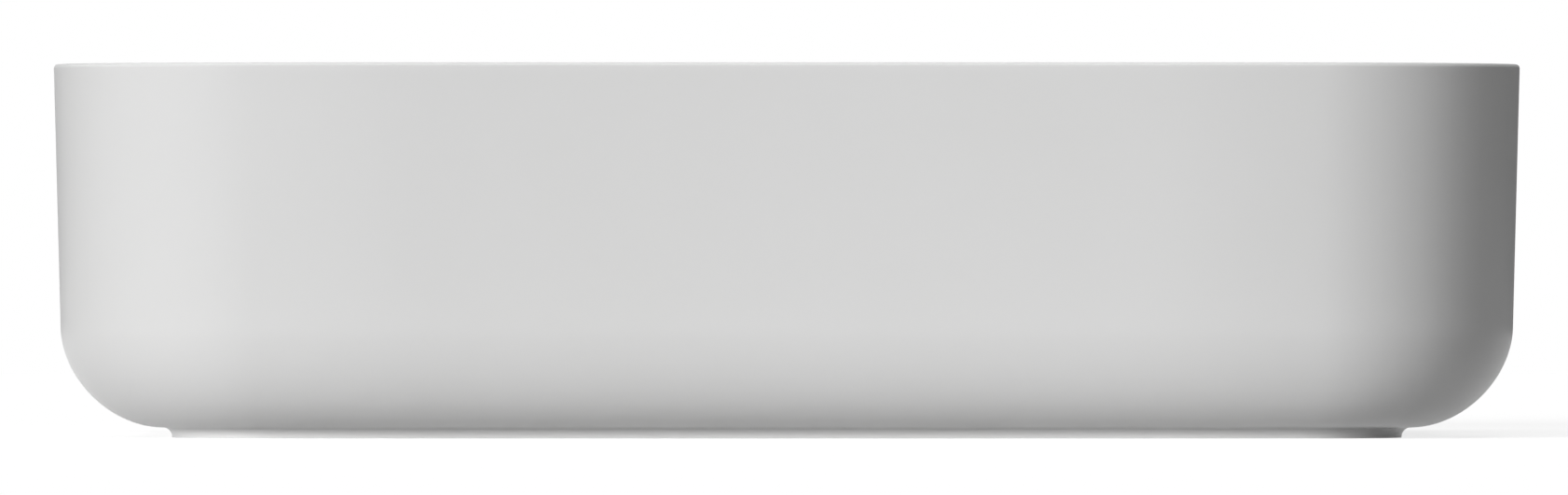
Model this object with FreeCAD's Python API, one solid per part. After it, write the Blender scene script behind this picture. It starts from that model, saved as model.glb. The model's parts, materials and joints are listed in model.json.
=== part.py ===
import FreeCAD, Part
import math
import os
from FreeCAD import Placement, Rotation, Vector

# Semi-recessed ceramic basin, in millimetres.
# +X right, +Y to the back, +Z up. The origin is at the centre of the basin's plan, on the plane that its foot
# stands on. The front face looks along -Y.

# Ceramic body, outside
WIDTH = 550.0
DEPTH = 420.0
HEIGHT = 140.0
WALL_DRAFT = 1.48           # degrees, the side and front walls lean in downwards
RIM_EDGE_RADIUS = 1.5
CORNER_RADIUS = 88.0        # front corners in plan, at the rim
RUN_IN_RADIUS = 450.0       # wide arc that eases the flat front into each corner
RUN_IN_TURN = 8.0           # degrees that the wide arc turns
CURVE_TOP = 42.0            # height where the wall ends and the lower curve starts
CURVE_WEIGHT = 0.625        # fullness of the lower curve: 0.707 would be a quarter ellipse
FOOT_INSET = 44.3           # foot edge, in from the rim edge
FOOT_HEIGHT = 3.8
FOOT_COVE = 3.5
FOOT_RING_WIDTH = 14.0
TAP_NOTCH_WIDTH = 120.0     # gap in the back of the foot for the tails of the tap
TAP_NOTCH_FROM_BACK = 40.0
SKIN = 9.0                  # ceramic thickness of walls and bowl

# Part that sits in the worktop
LEDGE_HEIGHT = 100.0        # underside of the ledge that rests on the worktop
LEDGE_WIDTH = 20.0
RECESSED_DEPTH = 250.0      # from the worktop's front edge to the back of the basin
TUB_CORNER_RADIUS = 52.0
TUB_DRAFT = 1.5             # degrees
TUB_LOWER_RADIUS = 18.0
BACK_CORNER_RADIUS = 16.0
LEDGE_EDGE_RADIUS = 2.0

# Bowl and tap deck
RIM_WIDTH = 23.0
TAP_DECK_DEPTH = 110.0
DECK_THICKNESS = 14.0
BOWL_BACK_RADIUS = 72.0
BOWL_DRAFT = 10.0           # degrees
BOWL_DEPTH = 88.0           # rim to floor, at the waste
BOWL_FLOOR_RADIUS = 6000.0  # the floor is dished towards the waste
BOWL_LOWER_RADIUS = 42.0
BOWL_LIP_RADIUS = 3.0
TAP_HOLE_DIAMETER = 35.0
TAP_HOLE_FROM_BACK = 55.0
TAP_HOLE_EDGE = 1.0
RECESS_EDGE = 1.0

# Waste hole and overflow, in the ceramic
WASTE_FROM_BACK = 230.0
WASTE_HOLE_DIAMETER = 46.0
WASTE_RECESS_DIAMETER = 66.0
WASTE_BOSS_DIAMETER = 68.0
DUCT_WIDTH = 26.0
DUCT_GAP = 10.0
DUCT_SKIN = 8.0
OVERFLOW_BELOW_RIM = 28.0
OVERFLOW_HOLE_DIAMETER = 22.0

# Waste: flange, slotted tail and what clamps it
FLANGE_DIAMETER = 64.0
FLANGE_THICKNESS = 2.0
TOP_GASKET_THICKNESS = 1.5
GASKET_SETBACK = 1.0        # how far a gasket under a flange stays inside the flange's edge
TAIL_DIAMETER = 41.9
TAIL_WALL = 2.95
TAIL_CHAMFER = 1.0
TAIL_END_DIAMETER = 40.0    # plain end that the inlet of the trap slides over
TAIL_END_LENGTH = 10.0
FLANGE_EDGE = 0.8
THROAT_FLARE = 2.5
SLOT_WIDTH = 16.0
SLOT_EDGE = 1.0
BOTTOM_GASKET_THICKNESS = 4.0
BOTTOM_GASKET_DIAMETER = 56.0
BOTTOM_GASKET_TAPER = 2.0
WASHER_THICKNESS = 1.5
WASHER_DIAMETER = 58.0
BACK_NUT_THICKNESS = 6.0
BACK_NUT_FLATS = 54.0
BACK_NUT_CHAMFER = 2.0
THREAD_CLEARANCE = 0.1

# Click cartridge, on the axis of the waste
SPIDER_HEIGHT = 5.0
SPIDER_ABOVE_TAIL = 7.0     # from the end of the tail
SPIDER_ARMS = 3
SPIDER_ARM_WIDTH = 3.5
SPIDER_HUB_DIAMETER = 16.0
SPIGOT_DIAMETER = 8.0
BARREL_DIAMETER = 16.0
BARREL_LENGTH = 24.0
BARREL_BORE = 11.2
BARREL_FLOOR = 2.0
BARREL_BELOW_NUT = 3.8      # from the closed plug's lock nut to the top of the barrel
SPANNER_FLATS = 14.0
SPANNER_HEIGHT = 6.0
RETAINING_RING_DIAMETER = 13.2
RETAINING_RING_HEIGHT = 3.0
ROD_DIAMETER = 7.0
COLLAR_HEIGHT = 2.5
ROTOR_HEIGHT = 4.0          # from the spring to the plunger's collar
ROTOR_BORE = 5.0
TEETH = 8
TOOTH_HEIGHT = 1.0
TOOTH_SHARE = 0.96          # width of a tooth against its pitch
TOOTH_GAP = 0.2
RUNNING_CLEARANCE = 0.05
PLUG_TRAVEL = 8.0
SPRING_WIRE = 0.7
SPRING_TURNS = 3
SPRING_DIAMETER = 9.6
SPRING_GAP = 0.05
SPANS_PER_TURN = 4
O_RING_WIRE = 1.2

# Plug
CAP_DIAMETER = 58.0
CAP_EDGE = 2.2
CAP_CROWN = 2.4
CAP_EDGE_RADIUS = 1.2
CAP_LIFT = 0.3              # gap between the closed cap and the flange
ROD_IN_BOSS = 5.0
BOSS_DIAMETER = 12.0
BOSS_LENGTH = 7.0
LOCK_NUT_FLATS = 11.0
LOCK_NUT_THICKNESS = 2.5
LOCK_NUT_CHAMFER = 0.6
CARRIER_THICKNESS = 3.0
SEAL_WIRE = 2.4
SEAL_BELOW_CAP = 0.1
SEAL_CLEARANCE = 0.2

# Overflow trim
TRIM_DIAMETER = 30.0
TRIM_BORE = 18.0
TRIM_THICKNESS = 2.2
TRIM_GASKET_THICKNESS = 0.8
TRIM_CLEARANCE = 0.1
TRIM_LEGS = 3
TRIM_LEG_GAP = 7.0
TRIM_LEG_ROOT = 1.5
TRIM_LEG_END = 2.4          # how far the legs reach behind the ceramic
TRIM_BARB = 0.8
TRIM_EDGE = 0.8

# How far a cut or a joined solid runs past the face that it meets, and how near an edge counts as in place
LAP = 1.0
NEAR = 0.01

# Worked out from the above
FRONT = -DEPTH / 2
BACK = DEPTH / 2
UP = Vector(0, 0, 1)
FLOOR = HEIGHT - BOWL_DEPTH
WASTE_Y = BACK - WASTE_FROM_BACK
WASTE_SEAT = FLOOR - FLANGE_THICKNESS - TOP_GASKET_THICKNESS
DUCT_TOP = FLOOR - SKIN
DUCT_BOTTOM = DUCT_TOP - DUCT_GAP
BOSS_BOTTOM = DUCT_BOTTOM - DUCT_SKIN
TAIL_BORE = TAIL_DIAMETER - 2 * TAIL_WALL
CAP_BASE = FLOOR + CAP_LIFT
BOSS_BASE = CAP_BASE - BOSS_LENGTH
BARREL_TOP = BOSS_BASE - LOCK_NUT_THICKNESS - BARREL_BELOW_NUT
BARREL_BASE = BARREL_TOP - BARREL_LENGTH
SPIDER_BASE = BARREL_BASE - SPIDER_HEIGHT
TAIL_BASE = SPIDER_BASE - SPIDER_ABOVE_TAIL
RING_BASE = BARREL_TOP - RETAINING_RING_HEIGHT
COLLAR_TOP = RING_BASE - PLUG_TRAVEL
COLLAR_BASE = COLLAR_TOP - COLLAR_HEIGHT
ROTOR_BASE = COLLAR_BASE - ROTOR_HEIGHT


def box(x0, x1, y0, y1, z0, z1):
    return Part.makeBox(x1 - x0, y1 - y0, z1 - z0, Vector(x0, y0, z0))


def cylinder(diameter, z0, z1, x=0.0, y=0.0):
    return Part.makeCylinder(diameter / 2, z1 - z0, Vector(x, y, z0), UP)


def ring(outer, inner, z0, z1, y=0.0):
    return cylinder(outer, z0, z1, y=y).cut(cylinder(inner, z0, z1, y=y))


def hexagon(flats, z0, z1, y=0.0):
    corner = flats / math.sqrt(3)
    turns = [math.radians(60 * i) for i in range(7)]
    points = [Vector(corner * math.cos(a), y + corner * math.sin(a), z0) for a in turns]
    return Part.Face(Part.makePolygon(points)).extrude(UP * (z1 - z0))


def revolved(points, y=0.0):
    """Solid turned about the vertical axis through (0, y) from an outline of (radius, height)."""
    corners = [Vector(r, y, z) for r, z in points]
    face = Part.Face(Part.makePolygon(corners + corners[:1]))
    return face.revolve(Vector(0, y, 0), UP, 360)


def arc(centre, radius, start, end, z):
    """Arc in plan, angles in degrees from +X."""
    circle = Part.Circle(Vector(centre[0], centre[1], z), UP, radius)
    return Part.ArcOfCircle(circle, math.radians(start), math.radians(end)).toShape()


def line(a, b, z):
    return Part.makeLine(Vector(a[0], a[1], z), Vector(b[0], b[1], z))


def front_outline(inset, back, z):
    """Edges of the plan outline, from the back of the left side round the front to the right side.

    The flat front passes through a wide run-in arc and a tight corner arc into each side. An inset
    outline keeps the same arc centres.
    """
    turn = math.radians(RUN_IN_TURN)
    side = WIDTH / 2 - inset
    front = FRONT + inset
    tight = CORNER_RADIUS - inset
    wide = RUN_IN_RADIUS - inset
    tight_x = WIDTH / 2 - CORNER_RADIUS
    tight_y = FRONT + RUN_IN_RADIUS - (RUN_IN_RADIUS - CORNER_RADIUS) * math.cos(turn)
    wide_x = tight_x - (RUN_IN_RADIUS - CORNER_RADIUS) * math.sin(turn)
    wide_y = FRONT + RUN_IN_RADIUS
    return [
        line((-side, back), (-side, tight_y), z),
        arc((-tight_x, tight_y), tight, 180, 270 - RUN_IN_TURN, z),
        arc((-wide_x, wide_y), wide, 270 - RUN_IN_TURN, 270, z),
        line((-wide_x, front), (wide_x, front), z),
        arc((wide_x, wide_y), wide, 270, 270 + RUN_IN_TURN, z),
        arc((tight_x, tight_y), tight, 270 + RUN_IN_TURN, 360, z),
        line((side, tight_y), (side, back), z),
    ]


def closed_outline(inset, back, corner, z):
    """The front outline, closed across the back with two round corners."""
    side = WIDTH / 2 - inset
    edges = front_outline(inset, back - corner, z)
    edges.append(arc((side - corner, back - corner), corner, 0, 90, z))
    edges.append(line((side - corner, back), (corner - side, back), z))
    edges.append(arc((corner - side, back - corner), corner, 90, 180, z))
    return Part.Wire(edges)


def prism(inset, back, corner, z0, z1):
    return Part.Face(closed_outline(inset, back, corner, z0)).extrude(UP * (z1 - z0))


def drafted(inset, back, corner, z0, z1, draft):
    """Solid with the closed outline at height z1, whose walls lean in downwards to z0."""
    lean = (z1 - z0) * math.tan(math.radians(draft))
    core = lean + LAP
    path = closed_outline(inset, back, corner, z1)
    side = inset - WIDTH / 2
    start = back - corner
    corners = [
        Vector(side, start, z1),
        Vector(side + lean, start, z0),
        Vector(side + core + LAP, start, z0),
        Vector(side + core + LAP, start, z1),
    ]
    section = Part.makePolygon(corners + corners[:1])
    skirt = path.makePipeShell([section], True, False)
    middle = prism(inset + core, back - core, corner - core, z0, z1)
    return skirt.fuse(middle).removeSplitter()


def lower_edges(shape, height):
    """Edges of the shape that lie wholly below a height."""
    return [e for e in shape.Edges if e.BoundBox.ZMax < height]


def wall_section(thickness, inner, back):
    """Section of the outer form, from the rim down the drafted wall and round the lower curve.

    It is drawn at the back end of the left side. With a thickness, the section is that much further inside.
    """
    lean = math.tan(math.radians(WALL_DRAFT))
    outside = -WIDTH / 2
    rim = outside + thickness - RIM_EDGE_RADIUS * lean
    wall_end = outside + thickness + (HEIGHT - RIM_EDGE_RADIUS - CURVE_TOP) * lean
    curve_end = outside + FOOT_INSET - FOOT_COVE
    curve_base = FOOT_HEIGHT + thickness
    deep = outside + inner

    def at(x, z):
        return Vector(x, back, z)

    curve = Part.BezierCurve()
    curve.setPoles([at(wall_end, CURVE_TOP), at(wall_end, curve_base), at(curve_end, curve_base)])
    curve.setWeight(2, CURVE_WEIGHT)
    return Part.Wire([
        Part.makeLine(at(rim, HEIGHT), at(deep, HEIGHT)),
        Part.makeLine(at(deep, HEIGHT), at(deep, curve_base)),
        Part.makeLine(at(deep, curve_base), at(curve_end, curve_base)),
        curve.toShape(),
        Part.makeLine(at(wall_end, CURVE_TOP), at(rim, HEIGHT)),
    ])


def tub(thickness):
    """The part below the ledge that passes through the cut-out of the worktop."""
    base = FOOT_HEIGHT + thickness
    back = BACK - LEDGE_WIDTH - thickness
    corner = TUB_CORNER_RADIUS - thickness
    top = LEDGE_HEIGHT + thickness
    solid = drafted(LEDGE_WIDTH + thickness, back, corner, base, top, TUB_DRAFT)
    return solid.makeFillet(TUB_LOWER_RADIUS - thickness, lower_edges(solid, base + LAP))


def back_corners(shape, back):
    """The two upright edges at the back of the part above the ledge."""
    return [
        e for e in shape.Edges
        if e.BoundBox.YMin > back - NEAR and abs(e.CenterOfMass.x) > WIDTH / 2 - LEDGE_WIDTH
        and e.BoundBox.ZLength > (HEIGHT - LEDGE_HEIGHT) / 2
    ]


def outer_form(thickness):
    """The whole outer form without its foot. With a thickness, the form of its hollow."""
    back = BACK - thickness
    inner = FOOT_INSET + FOOT_COVE + SKIN
    path = Part.Wire(front_outline(0, back, HEIGHT))
    skirt = path.makePipeShell([wall_section(thickness, inner, back)], True, False)
    base = FOOT_HEIGHT + thickness
    middle = front_outline(inner - LAP, back, base)
    first = middle[0].Vertexes[0].Point
    last = middle[-1].Vertexes[-1].Point
    middle.append(Part.makeLine(last, first))
    form = skirt.fuse(Part.Face(Part.Wire(middle)).extrude(UP * (HEIGHT - base)))
    shelf_front = BACK - RECESSED_DEPTH - thickness
    shelf = box(-WIDTH, WIDTH, shelf_front, DEPTH, -LAP, LEDGE_HEIGHT + thickness)
    form = form.cut(shelf).removeSplitter()
    form = form.makeFillet(BACK_CORNER_RADIUS - thickness, back_corners(form, back))
    return form.fuse(tub(thickness)).removeSplitter()


def foot():
    """Low foot with a hollow quarter-round above its edge."""
    back = BACK - FOOT_INSET
    corner = TUB_CORNER_RADIUS + LEDGE_WIDTH - FOOT_INSET
    pad = prism(FOOT_INSET, back, corner, 0, FOOT_HEIGHT + LAP)
    edge = FOOT_INSET - WIDTH / 2
    start = back - corner
    low = FOOT_HEIGHT - FOOT_COVE
    lap = FOOT_COVE

    def at(x, z):
        return Vector(x, start, z)

    bend = FOOT_COVE * (1 - math.sqrt(0.5))
    cove = Part.Arc(at(edge, low), at(edge - bend, FOOT_HEIGHT - bend), at(edge - FOOT_COVE, FOOT_HEIGHT))
    section = Part.Wire([
        cove.toShape(),
        Part.makeLine(at(edge - FOOT_COVE, FOOT_HEIGHT), at(edge + lap, FOOT_HEIGHT)),
        Part.makeLine(at(edge + lap, FOOT_HEIGHT), at(edge + lap, low)),
        Part.makeLine(at(edge + lap, low), at(edge, low)),
    ])
    path = closed_outline(FOOT_INSET, back, corner, 0)
    return pad.fuse(path.makePipeShell([section], True, False))


def foot_opening():
    """The open underside, with a gap through the back of the foot below the tap hole."""
    inset = FOOT_INSET + FOOT_RING_WIDTH
    corner = TUB_CORNER_RADIUS + LEDGE_WIDTH - inset
    top = FOOT_HEIGHT + SKIN + LAP
    half = TAP_NOTCH_WIDTH / 2
    notch = box(-half, half, 0, BACK - TAP_NOTCH_FROM_BACK, -LAP, top)
    return prism(inset, BACK - inset, corner, -LAP, top).fuse(notch)


def bowl(grow):
    """The hollow of the bowl. Grown, it is the solid that the bowl's ceramic and the duct are cut from."""
    back = BACK - TAP_DECK_DEPTH + grow
    corner = BOWL_BACK_RADIUS + grow
    base = FLOOR - grow - 2 * LAP
    solid = drafted(RIM_WIDTH - grow, back, corner, base, HEIGHT, BOWL_DRAFT)
    centre = Vector(0, WASTE_Y, FLOOR + BOWL_FLOOR_RADIUS)
    dish = Part.makeSphere(BOWL_FLOOR_RADIUS + grow, centre, UP, -90, 90, 360)
    solid = solid.common(dish)
    floor = [f for f in solid.Faces if isinstance(f.Surface, Part.Sphere)]
    return solid.makeFillet(BOWL_LOWER_RADIUS + grow, floor[0].Edges)


def overflow_place():
    """Where the overflow's axis meets the back wall of the bowl, with +Z out into the bowl."""
    lean = math.radians(BOWL_DRAFT)
    y = BACK - TAP_DECK_DEPTH - OVERFLOW_BELOW_RIM * math.tan(lean)
    normal = Vector(0, -math.cos(lean), math.sin(lean))
    return Placement(Vector(0, y, HEIGHT - OVERFLOW_BELOW_RIM), Rotation(UP, normal))


def duct_block(grow, half_width, top):
    """Slice of a grown bowl behind and below the bowl, from the waste to the overflow."""
    return bowl(grow).common(box(-half_width, half_width, WASTE_Y, BACK, 0, top))


def basin_body():
    duct_top = HEIGHT - OVERFLOW_BELOW_RIM + DUCT_WIDTH / 2
    wide = DUCT_WIDTH / 2 + DUCT_SKIN
    duct = duct_block(SKIN + DUCT_GAP + DUCT_SKIN, wide, duct_top + DUCT_SKIN)
    boss = cylinder(WASTE_BOSS_DIAMETER, BOSS_BOTTOM, FLOOR, y=WASTE_Y)
    below_deck = box(-WIDTH, WIDTH, -DEPTH, DEPTH, 0, HEIGHT - DECK_THICKNESS)
    hollow = outer_form(SKIN).common(below_deck).cut([bowl(SKIN), duct, boss])
    channel = duct_block(SKIN + DUCT_GAP, DUCT_WIDTH / 2, duct_top).cut(bowl(SKIN))
    overflow = cylinder(OVERFLOW_HOLE_DIAMETER, -SKIN - DUCT_GAP / 2, BOWL_LIP_RADIUS)
    overflow.Placement = overflow_place()
    body = outer_form(0).fuse(foot()).removeSplitter()
    body = body.cut([
        hollow,
        foot_opening(),
        bowl(0),
        channel,
        overflow,
        cylinder(WASTE_HOLE_DIAMETER, BOSS_BOTTOM - LAP, FLOOR, y=WASTE_Y),
        cylinder(WASTE_RECESS_DIAMETER, WASTE_SEAT, FLOOR + LAP, y=WASTE_Y),
        cylinder(TAP_HOLE_DIAMETER, HEIGHT - DECK_THICKNESS - LAP, HEIGHT + LAP, y=BACK - TAP_HOLE_FROM_BACK),
    ])
    return round_edges(body.removeSplitter().Solids[0])


def round_edges(body):
    """Round the glazed edges: rim, bowl lip, tap hole, waste recess and ledge."""
    top = [e for e in body.Edges if e.BoundBox.ZMin > HEIGHT - NEAR]
    tap = [e for e in top if e.BoundBox.DiagonalLength < 2 * TAP_HOLE_DIAMETER and e.Closed]
    deck = [e for e in top if not e.Closed]
    rim = [e for e in deck if on_rim(e)]
    lip = [e for e in deck if not on_rim(e)]
    body = body.makeFillet(RIM_EDGE_RADIUS, rim)
    body = body.makeFillet(BOWL_LIP_RADIUS, same_edges(body, lip))
    body = body.makeFillet(TAP_HOLE_EDGE, same_edges(body, tap))
    ledge = [
        e for e in body.Edges
        if abs(e.BoundBox.ZMin - LEDGE_HEIGHT) < NEAR and e.BoundBox.ZLength < NEAR
        and (abs(e.CenterOfMass.x) > WIDTH / 2 - LEDGE_WIDTH / 2 or e.CenterOfMass.y > BACK - LEDGE_WIDTH / 2)
    ]
    body = body.makeFillet(LEDGE_EDGE_RADIUS, ledge)
    recess = [
        e for e in body.Edges
        if e.Closed and e.CenterOfMass.distanceToPoint(Vector(0, WASTE_Y, FLOOR)) < LAP
        and abs(e.BoundBox.XLength - WASTE_RECESS_DIAMETER) < NEAR
    ]
    return body.makeFillet(RECESS_EDGE, recess)


def on_rim(edge):
    """Whether an edge of the top face lies on the outer outline, and not on the bowl's lip."""
    reach = edge.BoundBox
    near = RIM_WIDTH / 2
    side = max(reach.XMax, -reach.XMin) > WIDTH / 2 - near
    return side or reach.YMin < FRONT + near or reach.YMax > BACK - near


def same_edges(shape, wanted):
    """The shape's edges that have the same middle as the wanted ones."""
    middles = [e.CenterOfMass for e in wanted]
    return [e for e in shape.Edges if any(e.CenterOfMass.distanceToPoint(m) < NEAR for m in middles)]


def waste_body():
    """Flange and slotted tail in one, with a spider across the tail for the click cartridge."""
    inner = TAIL_BORE / 2
    outer = TAIL_DIAMETER / 2
    end = TAIL_END_DIAMETER / 2
    end_edge = end - TAIL_CHAMFER
    shoulder = TAIL_BASE + TAIL_END_LENGTH
    flange = FLANGE_DIAMETER / 2
    flange_edge = flange - FLANGE_EDGE
    under = FLOOR - FLANGE_THICKNESS
    solid = revolved([
        (inner, TAIL_BASE),
        (end_edge, TAIL_BASE),
        (end, TAIL_BASE + TAIL_CHAMFER),
        (end, shoulder),
        (outer, shoulder),
        (outer, under),
        (flange, under),
        (flange, FLOOR - FLANGE_EDGE),
        (flange_edge, FLOOR),
        (inner + THROAT_FLARE, FLOOR),
        (inner, FLOOR - THROAT_FLARE),
    ], WASTE_Y)
    half = SLOT_WIDTH / 2
    across = outer + LAP
    slot_base = DUCT_BOTTOM + SLOT_EDGE
    slots = box(-half, half, WASTE_Y - across, WASTE_Y + across, slot_base, DUCT_TOP - SLOT_EDGE)
    spider = cylinder(SPIDER_HUB_DIAMETER, SPIDER_BASE, BARREL_BASE, y=WASTE_Y)
    edge = SPIDER_ARM_WIDTH / 2
    for i in range(SPIDER_ARMS):
        arm = box(0, inner + TAIL_WALL / 2, -edge, edge, SPIDER_BASE, BARREL_BASE)
        arm.Placement = Placement(Vector(0, WASTE_Y, 0), Rotation(UP, 90 + 360 * i / SPIDER_ARMS))
        spider = spider.fuse(arm)
    hole = cylinder(SPIGOT_DIAMETER + 2 * THREAD_CLEARANCE, SPIDER_BASE, BARREL_BASE, y=WASTE_Y)
    return solid.cut(slots).fuse(spider).cut(hole).removeSplitter()


def waste_top_gasket():
    outer = FLANGE_DIAMETER - 2 * GASKET_SETBACK
    inner = TAIL_DIAMETER + 2 * THREAD_CLEARANCE
    return ring(outer, inner, WASTE_SEAT, WASTE_SEAT + TOP_GASKET_THICKNESS, y=WASTE_Y)


def waste_bottom_gasket():
    """Thick ring under the boss, with a taper that centres it in the waste hole."""
    outer = BOTTOM_GASKET_DIAMETER / 2
    inner = TAIL_DIAMETER / 2 + THREAD_CLEARANCE
    plug = WASTE_HOLE_DIAMETER / 2 - THREAD_CLEARANCE
    base = BOSS_BOTTOM - BOTTOM_GASKET_THICKNESS
    taper_top = BOSS_BOTTOM + BOTTOM_GASKET_TAPER
    return revolved([
        (inner, base),
        (outer, base),
        (outer, BOSS_BOTTOM),
        (plug, BOSS_BOTTOM),
        ((inner + plug) / 2, taper_top),
        (inner, taper_top),
    ], WASTE_Y)


def waste_washer():
    top = BOSS_BOTTOM - BOTTOM_GASKET_THICKNESS
    inner = TAIL_DIAMETER + 2 * THREAD_CLEARANCE
    return ring(WASHER_DIAMETER, inner, top - WASHER_THICKNESS, top, y=WASTE_Y)


def chamfered_nut(flats, bore, z0, z1, chamfer):
    """Hexagon nut whose corners are turned off at both ends."""
    corner = flats / math.sqrt(3)
    turned = revolved([
        (bore / 2, z0),
        (corner - chamfer, z0),
        (corner, z0 + chamfer / 2),
        (corner, z1 - chamfer / 2),
        (corner - chamfer, z1),
        (bore / 2, z1),
    ], WASTE_Y)
    return hexagon(flats, z0, z1, y=WASTE_Y).common(turned)


def waste_back_nut():
    top = BOSS_BOTTOM - BOTTOM_GASKET_THICKNESS - WASHER_THICKNESS
    bore = TAIL_DIAMETER + 2 * THREAD_CLEARANCE
    return chamfered_nut(BACK_NUT_FLATS, bore, top - BACK_NUT_THICKNESS, top, BACK_NUT_CHAMFER)


def click_housing():
    """Barrel of the cartridge, on a spigot that screws into the spider."""
    spigot = SPIGOT_DIAMETER / 2
    barrel = BARREL_DIAMETER / 2
    bore = BARREL_BORE / 2
    seat = RETAINING_RING_DIAMETER / 2
    solid = revolved([
        (0, SPIDER_BASE),
        (spigot, SPIDER_BASE),
        (spigot, BARREL_BASE),
        (barrel, BARREL_BASE),
        (barrel, BARREL_TOP),
        (seat, BARREL_TOP),
        (seat, RING_BASE),
        (bore, RING_BASE),
        (bore, BARREL_BASE + BARREL_FLOOR),
        (0, BARREL_BASE + BARREL_FLOOR),
    ], WASTE_Y)
    flat = SPANNER_FLATS / 2
    for side in (-1, 1):
        reach = BARREL_DIAMETER
        away = box(-reach, reach, flat, reach, BARREL_BASE, BARREL_BASE + SPANNER_HEIGHT)
        away.Placement = Placement(Vector(0, WASTE_Y, 0), Rotation(UP, 90 * side))
        solid = solid.cut(away)
    return solid


def click_retaining_ring():
    """Ring in the mouth of the barrel, with a groove inside for the O-ring."""
    bore = ROD_DIAMETER + 2 * RUNNING_CLEARANCE
    solid = ring(RETAINING_RING_DIAMETER, bore, RING_BASE, BARREL_TOP, y=WASTE_Y)
    middle = (RING_BASE + BARREL_TOP) / 2
    groove = cylinder(bore + 2 * O_RING_WIRE, middle - O_RING_WIRE / 2, middle + O_RING_WIRE / 2, y=WASTE_Y)
    return solid.cut(groove)


def click_o_ring():
    middle = (RING_BASE + BARREL_TOP) / 2
    radius = ROD_DIAMETER / 2 + RUNNING_CLEARANCE + O_RING_WIRE / 2
    return Part.makeTorus(radius, O_RING_WIRE / 2, Vector(0, WASTE_Y, middle), UP)


def helix_point(radius, pitch, turn):
    """Point and unit tangent of a rising helix after some turns."""
    angle = 2 * math.pi * turn
    point = Vector(radius * math.cos(angle), radius * math.sin(angle), pitch * turn)
    along = Vector(-radius * math.sin(angle), radius * math.cos(angle), pitch / (2 * math.pi))
    return point, along.normalize()


def tangent_arc(start, apex, end):
    """Arc from start to end whose tangents meet at the apex."""
    middle = (start + end) * 0.5
    half_chord = (end - start).Length / 2
    rise = apex - middle
    turn = math.atan2(rise.Length, half_chord)
    way = middle + rise.normalize() * (half_chord * math.tan(turn / 2))
    return Part.Arc(start, way, end).toShape()


def biarc(start, start_way, end, end_way):
    """Two arcs that leave start and reach end along the given directions, and meet smoothly."""
    chord = end - start
    both = start_way + end_way
    a = both.dot(both) - 4
    b = -2 * chord.dot(both)
    reach = (-b - math.sqrt(b * b - 4 * a * chord.dot(chord))) / (2 * a)
    first = start + start_way * reach
    second = end - end_way * reach
    joint = (first + second) * 0.5
    return [tangent_arc(start, first, joint), tangent_arc(joint, second, end)]


def click_spring():
    """Coil spring, pressed short while the plug is down."""
    floor = BARREL_BASE + BARREL_FLOOR
    height = ROTOR_BASE - floor - SPRING_WIRE - 2 * SPRING_GAP
    pitch = height / SPRING_TURNS
    radius = (SPRING_DIAMETER - SPRING_WIRE) / 2
    spans = SPANS_PER_TURN * SPRING_TURNS
    edges = []
    for i in range(spans):
        start, start_way = helix_point(radius, pitch, i / SPANS_PER_TURN)
        end, end_way = helix_point(radius, pitch, (i + 1) / SPANS_PER_TURN)
        edges += biarc(start, start_way, end, end_way)
    start, start_way = helix_point(radius, pitch, 0)
    wire_end = Part.Wire([Part.Circle(start, start_way, SPRING_WIRE / 2).toShape()])
    coil = Part.Wire(edges).makePipeShell([wire_end], True, False)
    coil.translate(Vector(0, WASTE_Y, floor + SPRING_GAP + SPRING_WIRE / 2))
    return coil


def teeth(radius, base, rise, turn):
    """Ring of pointed teeth on a flat base."""
    solid = None
    for i in range(TEETH):
        wedge = tooth(radius, base, rise)
        wedge.rotate(Vector(0, 0, 0), UP, turn + 360 * i / TEETH)
        solid = wedge if solid is None else solid.fuse(wedge)
    return solid


def tooth(radius, base, rise):
    half = radius * math.sin(math.pi / TEETH) * TOOTH_SHARE
    points = [Vector(0, -half, base), Vector(0, half, base), Vector(0, 0, base + rise)]
    return Part.Face(Part.makePolygon(points + points[:1])).extrude(Vector(radius, 0, 0))


def toothed(radius, bore, base, rise, turn):
    """Teeth trimmed to a ring between the bore and the radius."""
    low = min(base, base + rise)
    high = max(base, base + rise)
    blank = cylinder(2 * radius, low, high).cut(cylinder(bore, low, high))
    return teeth(radius, base, rise, turn).common(blank)


def click_rotor():
    """Ring below the plunger, with pointed teeth on top."""
    radius = BARREL_BORE / 2 - RUNNING_CLEARANCE
    crown = COLLAR_BASE - TOOTH_HEIGHT - TOOTH_GAP
    root = crown - TOOTH_HEIGHT
    blank = ring(2 * radius, ROTOR_BORE, ROTOR_BASE, root)
    solid = blank.fuse(toothed(radius, ROTOR_BORE, root, TOOTH_HEIGHT, 0))
    solid.translate(Vector(0, WASTE_Y, 0))
    return solid.removeSplitter()


def click_plunger():
    """Toothed collar that the rotor follows, with the rod that carries the cap."""
    radius = BARREL_BORE / 2 - RUNNING_CLEARANCE
    top = BOSS_BASE + ROD_IN_BOSS
    solid = cylinder(2 * radius, COLLAR_BASE, COLLAR_TOP).fuse(cylinder(ROD_DIAMETER, COLLAR_TOP, top))
    solid = solid.fuse(toothed(radius, ROTOR_BORE, COLLAR_BASE, -TOOTH_HEIGHT, 180 / TEETH))
    solid.translate(Vector(0, WASTE_Y, 0))
    return solid.removeSplitter()


def plug_lock_nut():
    bore = ROD_DIAMETER + 2 * THREAD_CLEARANCE
    return chamfered_nut(LOCK_NUT_FLATS, bore, BOSS_BASE - LOCK_NUT_THICKNESS, BOSS_BASE, LOCK_NUT_CHAMFER)


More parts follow.
